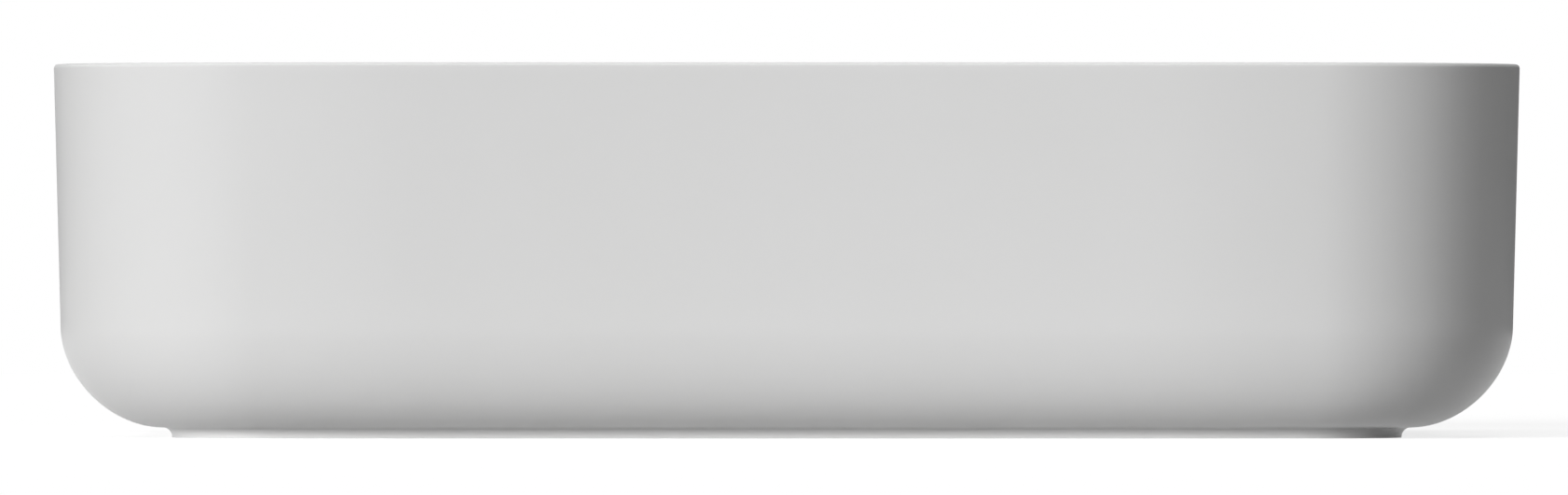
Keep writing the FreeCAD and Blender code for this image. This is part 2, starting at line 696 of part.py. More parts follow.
def plug_cap():
    """Domed cap with a boss below that screws onto the rod."""
    edge = CAP_DIAMETER / 2
    shoulder = Vector(edge, WASTE_Y, CAP_BASE + CAP_EDGE)
    crown = Vector(0, WASTE_Y, CAP_BASE + CAP_EDGE + CAP_CROWN)
    radius = (edge ** 2 + CAP_CROWN ** 2) / (2 * CAP_CROWN)
    half = math.asin(edge / radius) / 2
    way = Vector(radius * math.sin(half), WASTE_Y, crown.z - radius * (1 - math.cos(half)))
    outline = Part.Wire([
        Part.Arc(crown, way, shoulder).toShape(),
        Part.makeLine(shoulder, Vector(edge, WASTE_Y, CAP_BASE)),
        Part.makeLine(Vector(edge, WASTE_Y, CAP_BASE), Vector(0, WASTE_Y, CAP_BASE)),
        Part.makeLine(Vector(0, WASTE_Y, CAP_BASE), crown),
    ])
    solid = Part.Face(outline).revolve(Vector(0, WASTE_Y, 0), UP, 360)
    shoulder_edge = [e for e in solid.Edges if e.Closed and abs(e.CenterOfMass.z - shoulder.z) < 0.01]
    solid = solid.makeFillet(CAP_EDGE_RADIUS, shoulder_edge)
    solid = solid.fuse(cylinder(BOSS_DIAMETER, BOSS_BASE, CAP_BASE, y=WASTE_Y))
    bore = ROD_DIAMETER + 2 * THREAD_CLEARANCE
    return solid.cut(cylinder(bore, BOSS_BASE, BOSS_BASE + ROD_IN_BOSS, y=WASTE_Y)).removeSplitter()


def seal_ring():
    """Centre height and radius of the seal, which lies in the flare of the throat when the plug is down."""
    height = CAP_BASE - SEAL_BELOW_CAP - SEAL_WIRE / 2
    flare = TAIL_BORE / 2 + height - (FLOOR - THROAT_FLARE)
    return height, flare - (SEAL_WIRE / 2 + SEAL_CLEARANCE) * math.sqrt(2)


def plug_seal():
    height, radius = seal_ring()
    return Part.makeTorus(radius, SEAL_WIRE / 2, Vector(0, WASTE_Y, height), UP)


def plug_carrier():
    """Disc round the boss, with a groove in its edge for the seal."""
    height, radius = seal_ring()
    bore = BOSS_DIAMETER + 2 * THREAD_CLEARANCE
    disc = ring(2 * radius, bore, CAP_BASE - CARRIER_THICKNESS, CAP_BASE, y=WASTE_Y)
    return disc.cut(plug_seal())


def overflow_trim_ring():
    """Snap-in ring: a rounded flange in the bowl and three barbed legs behind the ceramic."""
    outer = TRIM_DIAMETER / 2
    bore = TRIM_BORE / 2
    spigot = OVERFLOW_HOLE_DIAMETER / 2 - TRIM_CLEARANCE
    seat = TRIM_GASKET_THICKNESS
    front = seat + TRIM_THICKNESS
    barb = spigot + TRIM_BARB
    barb_top = -SKIN - TRIM_CLEARANCE
    end = -SKIN - TRIM_LEG_END
    solid = revolved([
        (bore, end),
        (spigot, end),
        (barb, -SKIN - TRIM_LEG_END / 2),
        (barb, barb_top),
        (spigot, barb_top),
        (spigot, seat),
        (outer, seat),
        (outer, front - TRIM_EDGE),
        (outer - TRIM_EDGE, front),
        (bore + TRIM_EDGE, front),
        (bore, front - TRIM_EDGE),
    ])
    for i in range(TRIM_LEGS):
        gap = box(0, outer, -TRIM_LEG_GAP / 2, TRIM_LEG_GAP / 2, end - LAP, -TRIM_LEG_ROOT)
        gap.rotate(Vector(0, 0, 0), UP, 90 + 360 * i / TRIM_LEGS)
        solid = solid.cut(gap)
    solid.Placement = overflow_place()
    return solid


def overflow_ring_gasket():
    outer = TRIM_DIAMETER - 2 * GASKET_SETBACK
    solid = ring(outer, OVERFLOW_HOLE_DIAMETER + 2 * TRIM_CLEARANCE, 0, TRIM_GASKET_THICKNESS)
    solid.Placement = overflow_place()
    return solid


PIECES = (
    basin_body,
    overflow_trim_ring,
    overflow_ring_gasket,
    waste_body,
    waste_top_gasket,
    waste_bottom_gasket,
    waste_washer,
    waste_back_nut,
    click_housing,
    click_retaining_ring,
    click_o_ring,
    click_spring,
    click_rotor,
    click_plunger,
    plug_lock_nut,
    plug_carrier,
    plug_seal,
    plug_cap,
)

os.makedirs("parts", exist_ok=True)
for piece in PIECES:
    shape = piece()
    shape.Solids[0].exportStep("parts/" + piece.__name__ + ".step")
    print(piece.__name__, len(shape.Solids), round(shape.Volume / 1000, 3), "cm3")
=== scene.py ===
import json
import math

import bmesh
import bpy
from mathutils import Matrix, Vector

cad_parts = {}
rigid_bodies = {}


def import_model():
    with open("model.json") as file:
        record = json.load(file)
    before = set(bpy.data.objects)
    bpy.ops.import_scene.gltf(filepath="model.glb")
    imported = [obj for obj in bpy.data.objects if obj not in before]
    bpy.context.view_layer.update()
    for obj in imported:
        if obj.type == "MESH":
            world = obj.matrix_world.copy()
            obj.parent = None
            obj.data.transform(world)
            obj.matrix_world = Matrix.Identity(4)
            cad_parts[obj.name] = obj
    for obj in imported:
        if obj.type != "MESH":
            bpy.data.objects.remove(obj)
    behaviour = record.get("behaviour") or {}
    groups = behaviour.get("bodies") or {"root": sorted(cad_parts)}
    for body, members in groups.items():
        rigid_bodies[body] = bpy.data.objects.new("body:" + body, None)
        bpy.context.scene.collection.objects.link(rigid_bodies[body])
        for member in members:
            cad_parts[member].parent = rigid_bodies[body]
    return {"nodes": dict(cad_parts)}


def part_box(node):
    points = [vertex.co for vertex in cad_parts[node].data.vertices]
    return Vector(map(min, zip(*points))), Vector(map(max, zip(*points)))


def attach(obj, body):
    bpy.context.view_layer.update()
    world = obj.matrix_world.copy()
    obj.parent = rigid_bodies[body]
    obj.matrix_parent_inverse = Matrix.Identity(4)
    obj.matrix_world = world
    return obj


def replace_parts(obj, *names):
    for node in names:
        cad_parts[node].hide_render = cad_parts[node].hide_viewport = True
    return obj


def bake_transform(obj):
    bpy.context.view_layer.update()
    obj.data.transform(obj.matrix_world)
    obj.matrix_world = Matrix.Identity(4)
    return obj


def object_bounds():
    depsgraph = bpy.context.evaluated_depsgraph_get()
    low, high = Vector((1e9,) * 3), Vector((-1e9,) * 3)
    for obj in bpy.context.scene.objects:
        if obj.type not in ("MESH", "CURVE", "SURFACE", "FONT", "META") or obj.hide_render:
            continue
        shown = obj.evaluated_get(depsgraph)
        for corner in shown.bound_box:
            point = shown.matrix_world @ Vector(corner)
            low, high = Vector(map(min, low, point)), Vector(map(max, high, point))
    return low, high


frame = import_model()
cad_low, cad_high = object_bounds()


# Basin body: one hollow casting in white vitreous china, poured in plaster moulds, glazed and fired.
# The front hangs free below the rim, the tub behind it drops through the worktop, and the ledge between
# them rests on the worktop. The bowl, its overflow duct and the holes for tap and waste are cast in.
HALF_WIDTH = cad_high.x
FRONT = cad_low.y
BACK = cad_high.y
RIM_TOP = cad_high.z
WALL_DRAFT = math.radians(1.48)
RIM_ROUND = 0.0015
CORNER_RADIUS = 0.088
RUN_IN_RADIUS = 0.450
RUN_IN_TURN = 8.0
CURVE_TOP = 0.042
CURVE_FULLNESS = 0.625
CURVE_END = 0.0408
FOOT_HEIGHT = 0.0038
FOOT_INSET = 0.0443
FOOT_RING = 0.014
SKIN = 0.009
WORKTOP_EDGE = BACK - 0.250
LEDGE_UNDERSIDE = 0.100
LEDGE_WIDTH = 0.020
LEDGE_ROUND = 0.002
BACK_CORNER = 0.016
TUB_CORNER = 0.052
TUB_DRAFT = math.radians(1.5)
TUB_ROUND = 0.018
DECK_UNDERSIDE = RIM_TOP - 0.014
BOWL_RIM = 0.023
BOWL_BACK = BACK - 0.110
BOWL_CORNER = 0.072
BOWL_DRAFT = math.radians(10)
BOWL_FLOOR = RIM_TOP - 0.088
BOWL_DISH = 6.0
BOWL_ROUND = 0.042
LIP_ROUND = 0.003
WASTE_Y = BACK - 0.230
RECESS_RADIUS = 0.033
RECESS_ROUND = 0.001
RECESS_SEAT = BOWL_FLOOR - 0.0035
WASTE_HOLE_RADIUS = 0.023
BOSS_RADIUS = 0.034
BOSS_UNDERSIDE = 0.025
DUCT_HALF_WIDTH = 0.013
DUCT_GAP = 0.010
DUCT_SKIN = 0.008
OVERFLOW_DROP = 0.028
OVERFLOW_RADIUS = 0.011
TAP_HOLE_RADIUS = 0.0175
TAP_HOLE_Y = BACK - 0.055
TAP_HOLE_ROUND = 0.001
TAP_CUT_LOW = 0.120
TAP_CUT_HIGH = 0.145
WASTE_CUT_LOW = 0.020
WASTE_CUT_HIGH = 0.060
OVERFLOW_CUT_LOW = -SKIN - DUCT_GAP / 2
OVERFLOW_CUT_HIGH = 0.004
OVERCUT = 0.001  # how far a cutter reaches past the surface that it opens
NOTCH_HALF_WIDTH = 0.060
NOTCH_BACK = BACK - 0.040

# Points along each stretch of the plan, from the worktop's edge on the left round the front
SIDE_STEPS = 8
CORNER_STEPS = 40
RUN_IN_STEPS = 8
FRONT_STEPS = 24
REAR_SIDE_STEPS = 12
REAR_CORNER_STEPS = 24
REAR_STEPS = 32
FRONT_COLUMNS = 2 * (SIDE_STEPS + CORNER_STEPS + RUN_IN_STEPS) + FRONT_STEPS
BOWL_ROUND_STEPS = 24

# Heights of the rows of points between the rounds, and how far the deck's rows lie from its two edges
UPPER_WALL_ROWS = (RIM_TOP - 0.003, 0.12, LEDGE_UNDERSIDE + 0.004, LEDGE_UNDERSIDE + LEDGE_ROUND)
LOWER_WALL_ROWS = (0.09, 0.07, 0.05, 0.044, CURVE_TOP)
TUB_WALL_ROWS = (0.07, 0.035)
BOWL_WALL_ROWS = (0.1355, 0.12, 0.105)
DECK_EDGE_ROW = 0.0035
DECK_LIP_ROW = 0.005


def stretch(a, b, steps):
    return [(a[0] + (b[0] - a[0]) * i / steps, a[1] + (b[1] - a[1]) * i / steps) for i in range(steps)]


def sweep(centre, radius, start, end, steps):
    turns = [math.radians(start + (end - start) * i / steps) for i in range(steps)]
    return [(centre[0] + radius * math.cos(t), centre[1] + radius * math.sin(t)) for t in turns]


def plan(inset, back, corner, edge=WORKTOP_EDGE):
    """Closed plan outline: flat front, wide run-in arcs, tight front corners, round corners at the back."""
    side = HALF_WIDTH - inset
    front = FRONT + inset
    turn = math.radians(RUN_IN_TURN)
    tight = CORNER_RADIUS - inset
    wide = RUN_IN_RADIUS - inset
    gap = RUN_IN_RADIUS - CORNER_RADIUS
    tight_x = HALF_WIDTH - CORNER_RADIUS
    tight_y = FRONT + RUN_IN_RADIUS - gap * math.cos(turn)
    wide_x = tight_x - gap * math.sin(turn)
    wide_y = FRONT + RUN_IN_RADIUS
    points = stretch((-side, edge), (-side, tight_y), SIDE_STEPS)
    points += sweep((-tight_x, tight_y), tight, 180, 270 - RUN_IN_TURN, CORNER_STEPS)
    points += sweep((-wide_x, wide_y), wide, 270 - RUN_IN_TURN, 270, RUN_IN_STEPS)
    points += stretch((-wide_x, front), (wide_x, front), FRONT_STEPS)
    points += sweep((wide_x, wide_y), wide, 270, 270 + RUN_IN_TURN, RUN_IN_STEPS)
    points += sweep((tight_x, tight_y), tight, 270 + RUN_IN_TURN, 360, CORNER_STEPS)
    points += stretch((side, tight_y), (side, edge), SIDE_STEPS)
    points += stretch((side, edge), (side, back - corner), REAR_SIDE_STEPS)
    points += sweep((side - corner, back - corner), corner, 0, 90, REAR_CORNER_STEPS)
    points += stretch((side - corner, back), (corner - side, back), REAR_STEPS)
    points += sweep((corner - side, back - corner), corner, 90, 180, REAR_CORNER_STEPS)
    points += stretch((-side, back - corner), (-side, edge), REAR_SIDE_STEPS)
    return points


class Finish:
    """A material in the making: its shader, and patterns that lie on the piece itself."""

    NOISE_LOW = 0.3  # nearly all of a noise lies between these two
    NOISE_HIGH = 0.7

    def __init__(self, name, colour, rough, metal=0.0):
        """Colour and roughness each wander between two values, with so many patches to the metre."""
        self.material = bpy.data.materials.new(name)
        self.material.use_nodes = True
        self.nodes = self.material.node_tree.nodes
        self.links = self.material.node_tree.links
        self.shader = self.nodes["Principled BSDF"]
        self.shader.inputs["Metallic"].default_value = metal
        self.place = self.nodes.new("ShaderNodeTexCoord").outputs["Object"]
        patches = self.cloud(colour[2], 3.0)
        self.links.new(self.mixed(patches, colour[0], colour[1]), self.shader.inputs["Base Color"])
        sheen = self.cloud(rough[2], 4.0)
        self.links.new(self.between(sheen, rough[0], rough[1]), self.shader.inputs["Roughness"])

    def drawn_out(self, x, y, z):
        """Coordinates that squeeze a pattern along each axis, so that it runs in lines."""
        mapping = self.nodes.new("ShaderNodeMapping")
        mapping.inputs["Scale"].default_value = (x, y, z)
        self.links.new(self.place, mapping.inputs["Vector"])
        return mapping.outputs["Vector"]

    def cloud(self, patches_per_metre, detail, place=None):
        noise = self.nodes.new("ShaderNodeTexNoise")
        noise.inputs["Scale"].default_value = patches_per_metre
        noise.inputs["Detail"].default_value = detail
        self.links.new(place or self.place, noise.inputs["Vector"])
        return noise.outputs["Fac"]

    def between(self, pattern, low, high):
        spread = self.nodes.new("ShaderNodeMapRange")
        spread.inputs["From Min"].default_value = self.NOISE_LOW
        spread.inputs["From Max"].default_value = self.NOISE_HIGH
        spread.inputs["To Min"].default_value = low
        spread.inputs["To Max"].default_value = high
        self.links.new(pattern, spread.inputs["Value"])
        return spread.outputs["Result"]

    def mixed(self, pattern, one, other):
        blend = self.nodes.new("ShaderNodeMix")
        blend.data_type = "RGBA"
        blend.inputs["A"].default_value = (*one, 1)
        blend.inputs["B"].default_value = (*other, 1)
        self.links.new(self.between(pattern, 0, 1), blend.inputs["Factor"])
        return blend.outputs["Result"]

    def relief(self, *layers):
        """Bumps on bumps, each given as a pattern and its depth in metres."""
        below = None
        for pattern, depth in layers:
            bump = self.nodes.new("ShaderNodeBump")
            bump.inputs["Distance"].default_value = depth
            self.links.new(pattern, bump.inputs["Height"])
            if below:
                self.links.new(below, bump.inputs["Normal"])
            below = bump.outputs["Normal"]
        self.links.new(below, self.shader.inputs["Normal"])
        return self.material


def white_glaze():
    """Thick white glaze: it pools a little, so the sheen wanders, and it has a faint orange peel."""
    colour = ((0.826, 0.826, 0.822), (0.838, 0.838, 0.836), 11)
    glaze = Finish("white_glaze", colour, (0.29, 0.36, 16))
    glaze.shader.inputs["Specular IOR Level"].default_value = 0.2
    return glaze.relief((glaze.cloud(13, 1.0), 0.0001), (glaze.cloud(210, 2.0), 0.000012))


def bare_china():
    """Fired body where no glaze was sprayed: matt, off-white and slightly sandy."""
    colour = ((0.70, 0.67, 0.61), (0.80, 0.78, 0.73), 35)
    china = Finish("bare_china", colour, (0.82, 0.94, 120))
    return china.relief((china.cloud(90, 3.0), 0.0001), (china.cloud(1100, 2.0), 0.00004))


# Places of the two finishes in the ceramic's list
GLAZE = 0
CHINA = 1
ceramic = [white_glaze(), bare_china()]


class Skin:
    """A mesh put together from rows of points. Points that meet are shared."""

    GRID = 1e6  # places to the metre: points that round to the same place are one

    def __init__(self):
        self.mesh = bmesh.new()
        self.known = {}

    def vertex(self, x, y, z):
        key = (round(x * self.GRID), round(y * self.GRID), round(z * self.GRID))
        if key not in self.known:
            self.known[key] = self.mesh.verts.new((x, y, z))
        return self.known[key]

    def row(self, points, z):
        heights = z if isinstance(z, (list, tuple)) else [z] * len(points)
        return [self.vertex(x, y, h) for (x, y), h in zip(points, heights)]

    def face(self, corners):
        corners = [v for i, v in enumerate(corners) if v is not corners[i - 1]]
        if len(set(corners)) > 2:
            self.mesh.faces.new(corners)

    def join(self, rows, closed=False):
        for upper, lower in zip(rows, rows[1:]):
            count = len(upper)
            for i in range(count if closed else count - 1):
                j = (i + 1) % count
                self.face([upper[i], lower[i], lower[j], upper[j]])

    def finish(self, name, materials=(), inside=GLAZE):
        bmesh.ops.recalc_face_normals(self.mesh, faces=self.mesh.faces)
        mesh = bpy.data.meshes.new(name)
        self.mesh.to_mesh(mesh)
        self.mesh.free()
        for material in materials:
            mesh.materials.append(material)
        for face in mesh.polygons:
            face.use_smooth = True
            face.material_index = inside
        piece = bpy.data.objects.new(name, mesh)
        bpy.context.scene.collection.objects.link(piece)
        return piece


def front_of(points):
    return points[:FRONT_COLUMNS + 1]


def rear_of(points):
    return points[FRONT_COLUMNS:] + points[:1]


def wall_inset(z, inward):
    return inward + (RIM_TOP - RIM_ROUND - z) * math.tan(WALL_DRAFT)


def quarter(steps, start=90, end=0):
    """Cosine and sine at even steps from one angle to another."""
    turns = [math.radians(start + (end - start) * i / steps) for i in range(steps + 1)]
    return [(math.cos(t), math.sin(t)) for t in turns]


def lower_curve(inward, steps=36):
    """The sweep from the front wall to the foot: a conic that leaves the wall upright and ends level."""
    start = Vector((wall_inset(CURVE_TOP, inward), CURVE_TOP))
    pole = Vector((start.x, FOOT_HEIGHT + inward))
    end = Vector((CURVE_END, FOOT_HEIGHT + inward))
    points = []
    for i in range(1, steps + 1):
        t = i / steps
        weights = ((1 - t) ** 2, 2 * t * (1 - t) * CURVE_FULLNESS, t * t)
        point = (start * weights[0] + pole * weights[1] + end * weights[2]) / sum(weights)
        points.append((point.x, point.y))
    return points


def tub_rows(inward):
    """Insets and heights down the tub: the drafted wall, then the round into its level base."""
    top = LEDGE_UNDERSIDE + inward
    base = FOOT_HEIGHT + inward
    radius = TUB_ROUND - inward
    lean = math.tan(TUB_DRAFT)
    rows = [(LEDGE_WIDTH + inward + (top - z) * lean, z) for z in (top, top - LEDGE_ROUND, *TUB_WALL_ROWS)]
    middle = LEDGE_WIDTH + inward + (top - base - radius) * lean + radius / math.cos(TUB_DRAFT)
    start = 180 + math.degrees(TUB_DRAFT)
    return rows + [(middle + radius * c, base + radius + radius * s) for c, s in quarter(12, start, 270)]


def outer_skin(skin, inward):
    """Everything outside the rim's top and the foot. Inward, it is the hollow's wall below the deck."""
    edge = WORKTOP_EDGE - inward
    back = BACK - inward
    corner = BACK_CORNER - inward
    ledge = LEDGE_UNDERSIDE + inward

    def place(inset, trim, z):
        points = plan(inset, back - trim, corner - trim, edge)
        return skin.row(front_of(points), z), skin.row(rear_of(points), z)

    shared = []
    if inward:
        heights = (DECK_UNDERSIDE, ledge)
    else:
        for c, s in quarter(6):
            trim = RIM_ROUND * (1 - c)
            shared.append(place(trim, trim, RIM_TOP - RIM_ROUND * (1 - s)))
        heights = UPPER_WALL_ROWS
    shared += [place(wall_inset(z, inward), 0, z) for z in heights]
    front = [row for row, _ in shared]
    rear = [row for _, row in shared]
    split = len(shared) - 1
    front += [place(wall_inset(z, inward), 0, z)[0] for z in LOWER_WALL_ROWS]
    front += [place(inset, 0, z)[0] for inset, z in lower_curve(inward)]
    base_row = len(front) - 1
    if not inward:
        side = wall_inset(ledge + LEDGE_ROUND, 0)
        for c, s in quarter(5, 0, -90)[1:]:
            trim = LEDGE_ROUND * (1 - c)
            rear.append(place(side + trim, trim, ledge + LEDGE_ROUND + LEDGE_ROUND * s)[1])
        rear.append(place(side + 2 * LEDGE_ROUND, 2 * LEDGE_ROUND, ledge)[1])
    tub_back = BACK - LEDGE_WIDTH - inward
    for inset, z in tub_rows(inward):
        shift = inset - LEDGE_WIDTH - inward
        points = plan(inset, tub_back - shift, TUB_CORNER - inward - shift, edge)
        rear.append(skin.row(rear_of(points), z))
    skin.join(front)
    skin.join(rear)
    for end in (0, -1):
        down = [row[end] for row in front[split:base_row + 1]]
        up = [row[-1 - end] for row in reversed(rear[split + 1:])]
        skin.face(down + up)
    return front, rear


def foot_rows():
    """Insets and heights down the hollow quarter round above the foot and down its edge."""
    cove = FOOT_INSET - CURVE_END
    low = FOOT_HEIGHT - cove
    return [(CURVE_END + cove * c, low + cove * s) for c, s in quarter(8)] + [(FOOT_INSET, 0.0)]


def dish(x, y):
    return (x * x + (y - WASTE_Y) ** 2) / (2 * BOWL_DISH)


def bowl_rows(skin, grow=0.0, floor_steps=14):
    """Rows down the bowl, from its lip or, grown, from above the deck, to a circle round the waste."""
    lean = math.tan(BOWL_DRAFT)
    draft = math.degrees(BOWL_DRAFT)
    radius = BOWL_ROUND + grow
    level = BOWL_FLOOR + BOWL_ROUND
    middle = BOWL_RIM + (RIM_TOP - level) * lean + BOWL_ROUND / math.cos(BOWL_DRAFT)
    profile = []
    if grow:
        profile.append((BOWL_RIM - grow - OVERCUT * lean, RIM_TOP + OVERCUT, 0))
    else:
        start = BOWL_RIM - LIP_ROUND / math.tan(math.radians(90 + draft) / 2)
        for c, s in quarter(8, 90, draft):
            profile.append((start + LIP_ROUND * c, RIM_TOP - LIP_ROUND + LIP_ROUND * s, 0))
    profile += [(BOWL_RIM - grow + (RIM_TOP - z) * lean, z, 0) for z in BOWL_WALL_ROWS]
    for i, (c, s) in enumerate(quarter(BOWL_ROUND_STEPS, 180 + draft, 270)):
        share = i / BOWL_ROUND_STEPS
        profile.append((middle + radius * c, level + radius * s, share * share * (3 - 2 * share)))
    rows = []
    for inset, z, sag in profile:
        shift = inset - BOWL_RIM
        points = plan(inset, BOWL_BACK - shift, BOWL_CORNER - shift)
        rows.append(skin.row(points, [z + sag * dish(x, y) for x, y in points]))
    floor = BOWL_FLOOR - grow
    rim = RECESS_RADIUS + RECESS_ROUND
    for k in range(1, floor_steps + 1):
        share = k / floor_steps
        ring = []
        for x, y in points:
            away = math.atan2(y - WASTE_Y, x)
            ring.append((x + (rim * math.cos(away) - x) * share,
                         y + (WASTE_Y + rim * math.sin(away) - y) * share))
        rows.append(skin.row(ring, [floor + dish(x, y) for x, y in ring]))
    return rows, ring


def bowl_block(name, grow, inside=GLAZE):
    """The bowl as a solid, grown by a skin of ceramic."""
    skin = Skin()
    rows, _ = bowl_rows(skin, grow)
    skin.join(rows, closed=True)
    skin.face(rows[0])
    skin.face(rows[-1])
    return skin.finish(name, ceramic, inside)


def prism(name, outline, low, high, materials=(), inside=GLAZE):
    """Straight solid on a closed outline, from one height to another."""
    skin = Skin()
    rows = [skin.row(outline, low), skin.row(outline, high)]
    skin.join(rows, closed=True)
    skin.face(rows[0])
    skin.face(rows[1])
    return skin.finish(name, materials, inside)


def block(name, low, high, materials=(), inside=GLAZE):
    corners = [(low[0], low[1]), (high[0], low[1]), (high[0], high[1]), (low[0], high[1])]
    return prism(name, corners, low[2], high[2], materials, inside)


def turned(name, profile, materials=(), inside=GLAZE, y=WASTE_Y, steps=96):
    """Solid of revolution about the upright axis through (0, y), from a closed (radius, height) outline."""
    skin = Skin()
    rows = []
    for radius, z in profile:
        turns = [2 * math.pi * i / steps for i in range(steps)]
        rows.append(skin.row([(radius * math.cos(t), y + radius * math.sin(t)) for t in turns], z))
    on_axis = 1 / skin.GRID
    touching = profile[0][0] < on_axis and profile[-1][0] < on_axis
    skin.join(rows if touching else rows + rows[:1], closed=True)
    return skin.finish(name, materials, inside)


def rod(name, radius, low, high, materials=(), inside=GLAZE, y=WASTE_Y):
    return turned(name, [(0, low), (radius, low), (radius, high), (0, high)], materials, inside, y)


def baked(piece):
    """Apply the piece's modifiers, and give its new mesh."""
    mesh = bpy.data.meshes.new_from_object(piece.evaluated_get(bpy.context.evaluated_depsgraph_get()))
    old = piece.data
    piece.modifiers.clear()
    piece.data = mesh
    bpy.data.meshes.remove(old)
    return mesh


def shaped(piece, cutters, operation="DIFFERENCE"):
    """Cut the other solids from a piece, or keep what it shares with them, and remove them."""
    for cutter in cutters:
        change = piece.modifiers.new("shape", "BOOLEAN")
        change.operation = operation
        change.solver = "MANIFOLD"
        change.object = cutter
    baked(piece)
    for cutter in cutters:
        bpy.data.objects.remove(cutter)
    return piece


def duct_slice(name, grow, half_width, top, inside=GLAZE):
    return shaped(bowl_block(name, grow, inside), [
        block("slice", (-half_width, WASTE_Y, 0), (half_width, BACK, top), ceramic, inside),
    ], "INTERSECT")


def crisp(piece, degrees=28):
    """Smooth shading that keeps every edge sharper than this."""
    for face in piece.data.polygons:
        face.use_smooth = True
    piece.data.set_sharp_from_angle(angle=math.radians(degrees))
    return piece


def fitted(piece, node, body):
    """The piece stands for its CAD node and moves with its body."""
    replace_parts(piece, node)
    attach(piece, body)


body_skin = Skin()
front_rows, rear_rows = outer_skin(body_skin, 0.0)
front_foot = []
rear_foot = []
for inset, z in foot_rows():
    shift = inset - FOOT_INSET
    points = plan(inset, BACK - FOOT_INSET - shift, TUB_CORNER + LEDGE_WIDTH - FOOT_INSET - shift)
    front_foot.append(body_skin.row(front_of(points), z))
    rear_foot.append(body_skin.row(rear_of(points), z))
body_skin.join(front_foot)
body_skin.join([rear_rows[-1]] + rear_foot)
body_skin.face(front_foot[-1] + rear_foot[-1][1:-1])
bowl_surface, recess_edge = bowl_rows(body_skin)
deck_rows = [
    body_skin.row(plan(inset, BACK - inset, BACK_CORNER - inset), RIM_TOP)
    for inset in (RIM_ROUND, DECK_EDGE_ROW)
]
round_the_bowl = plan(BOWL_RIM - DECK_LIP_ROW, BOWL_BACK + DECK_LIP_ROW, BOWL_CORNER + DECK_LIP_ROW)
deck_rows.append(body_skin.row(round_the_bowl, RIM_TOP))
body_skin.join(deck_rows + [bowl_surface[0]], closed=True)
body_skin.join(bowl_surface, closed=True)
recess_rim = RECESS_RADIUS + RECESS_ROUND
recess = [bowl_surface[-1]]
for c, s in quarter(5, 90, 180):
    radius = recess_rim + RECESS_ROUND * c
    ring = [
        (x * radius / recess_rim, WASTE_Y + (y - WASTE_Y) * radius / recess_rim)
        for x, y in recess_edge
    ]
    recess.append(body_skin.row(ring, BOWL_FLOOR - RECESS_ROUND + RECESS_ROUND * s))
recess.append(body_skin.row(ring, RECESS_SEAT))
body_skin.join(recess, closed=True)
body_skin.face(recess[-1])
basin = body_skin.finish("basin_ceramic", ceramic)

hollow_skin = Skin()
front_rows, rear_rows = outer_skin(hollow_skin, SKIN)
hollow_skin.face(front_rows[0] + rear_rows[0][1:-1])
hollow_skin.face(front_rows[-1] + rear_rows[-1])
hollow = hollow_skin.finish("hollow", ceramic, CHINA)
duct_grow = SKIN + DUCT_GAP
duct_top = RIM_TOP - OVERFLOW_DROP + DUCT_HALF_WIDTH
hollow = shaped(hollow, [
    bowl_block("bowl_underside", SKIN, CHINA),
    duct_slice("duct", duct_grow + DUCT_SKIN, DUCT_HALF_WIDTH + DUCT_SKIN, duct_top + DUCT_SKIN, CHINA),
    rod("boss", BOSS_RADIUS, BOSS_UNDERSIDE, BOWL_FLOOR, ceramic, CHINA),
])

foot_cut_top = FOOT_HEIGHT + SKIN + OVERCUT
opening_inset = FOOT_INSET + FOOT_RING
opening_plan = plan(opening_inset, BACK - opening_inset, TUB_CORNER + LEDGE_WIDTH - opening_inset)
notch_low = (-NOTCH_HALF_WIDTH, 0, -OVERCUT)
notch_high = (NOTCH_HALF_WIDTH, NOTCH_BACK, foot_cut_top)

overflow_centre = Vector((0, BOWL_BACK - OVERFLOW_DROP * math.tan(BOWL_DRAFT), RIM_TOP - OVERFLOW_DROP))
overflow_tilt = Matrix.Rotation(math.radians(90) - BOWL_DRAFT, 4, "X")
overflow_place = Matrix.Translation(overflow_centre) @ overflow_tilt
overflow_hole = rod("overflow_hole", OVERFLOW_RADIUS, OVERFLOW_CUT_LOW, OVERFLOW_CUT_HIGH, ceramic, y=0)
overflow_hole.data.transform(overflow_place)

tap_round = [
    (TAP_HOLE_RADIUS + TAP_HOLE_ROUND * (1 - c), RIM_TOP - TAP_HOLE_ROUND * (1 - s))
    for c, s in quarter(5, 0, 90)
]
tap_hole = turned("tap_hole", [
    (0, TAP_CUT_LOW),
    (TAP_HOLE_RADIUS, TAP_CUT_LOW),
    *tap_round,
    (TAP_HOLE_RADIUS + TAP_HOLE_ROUND, TAP_CUT_HIGH),
    (0, TAP_CUT_HIGH),
], ceramic, y=TAP_HOLE_Y)
basin = shaped(basin, [
    hollow,
    prism("opening", opening_plan, -OVERCUT, foot_cut_top, ceramic, CHINA),
    block("tap_notch", notch_low, notch_high, ceramic, CHINA),
    rod("waste_hole", WASTE_HOLE_RADIUS, WASTE_CUT_LOW, WASTE_CUT_HIGH, ceramic),
    tap_hole,
    overflow_hole,
    shaped(duct_slice("channel", duct_grow, DUCT_HALF_WIDTH, duct_top), [bowl_block("bowl_skin", SKIN)]),
])
STANDING_EDGE = 0.0001  # faces below this height are the foot's lower edge
for face in basin.data.polygons:
    if face.center.z < STANDING_EDGE:
        face.material_index = CHINA
fitted(crisp(basin), "basin_body", "basin")


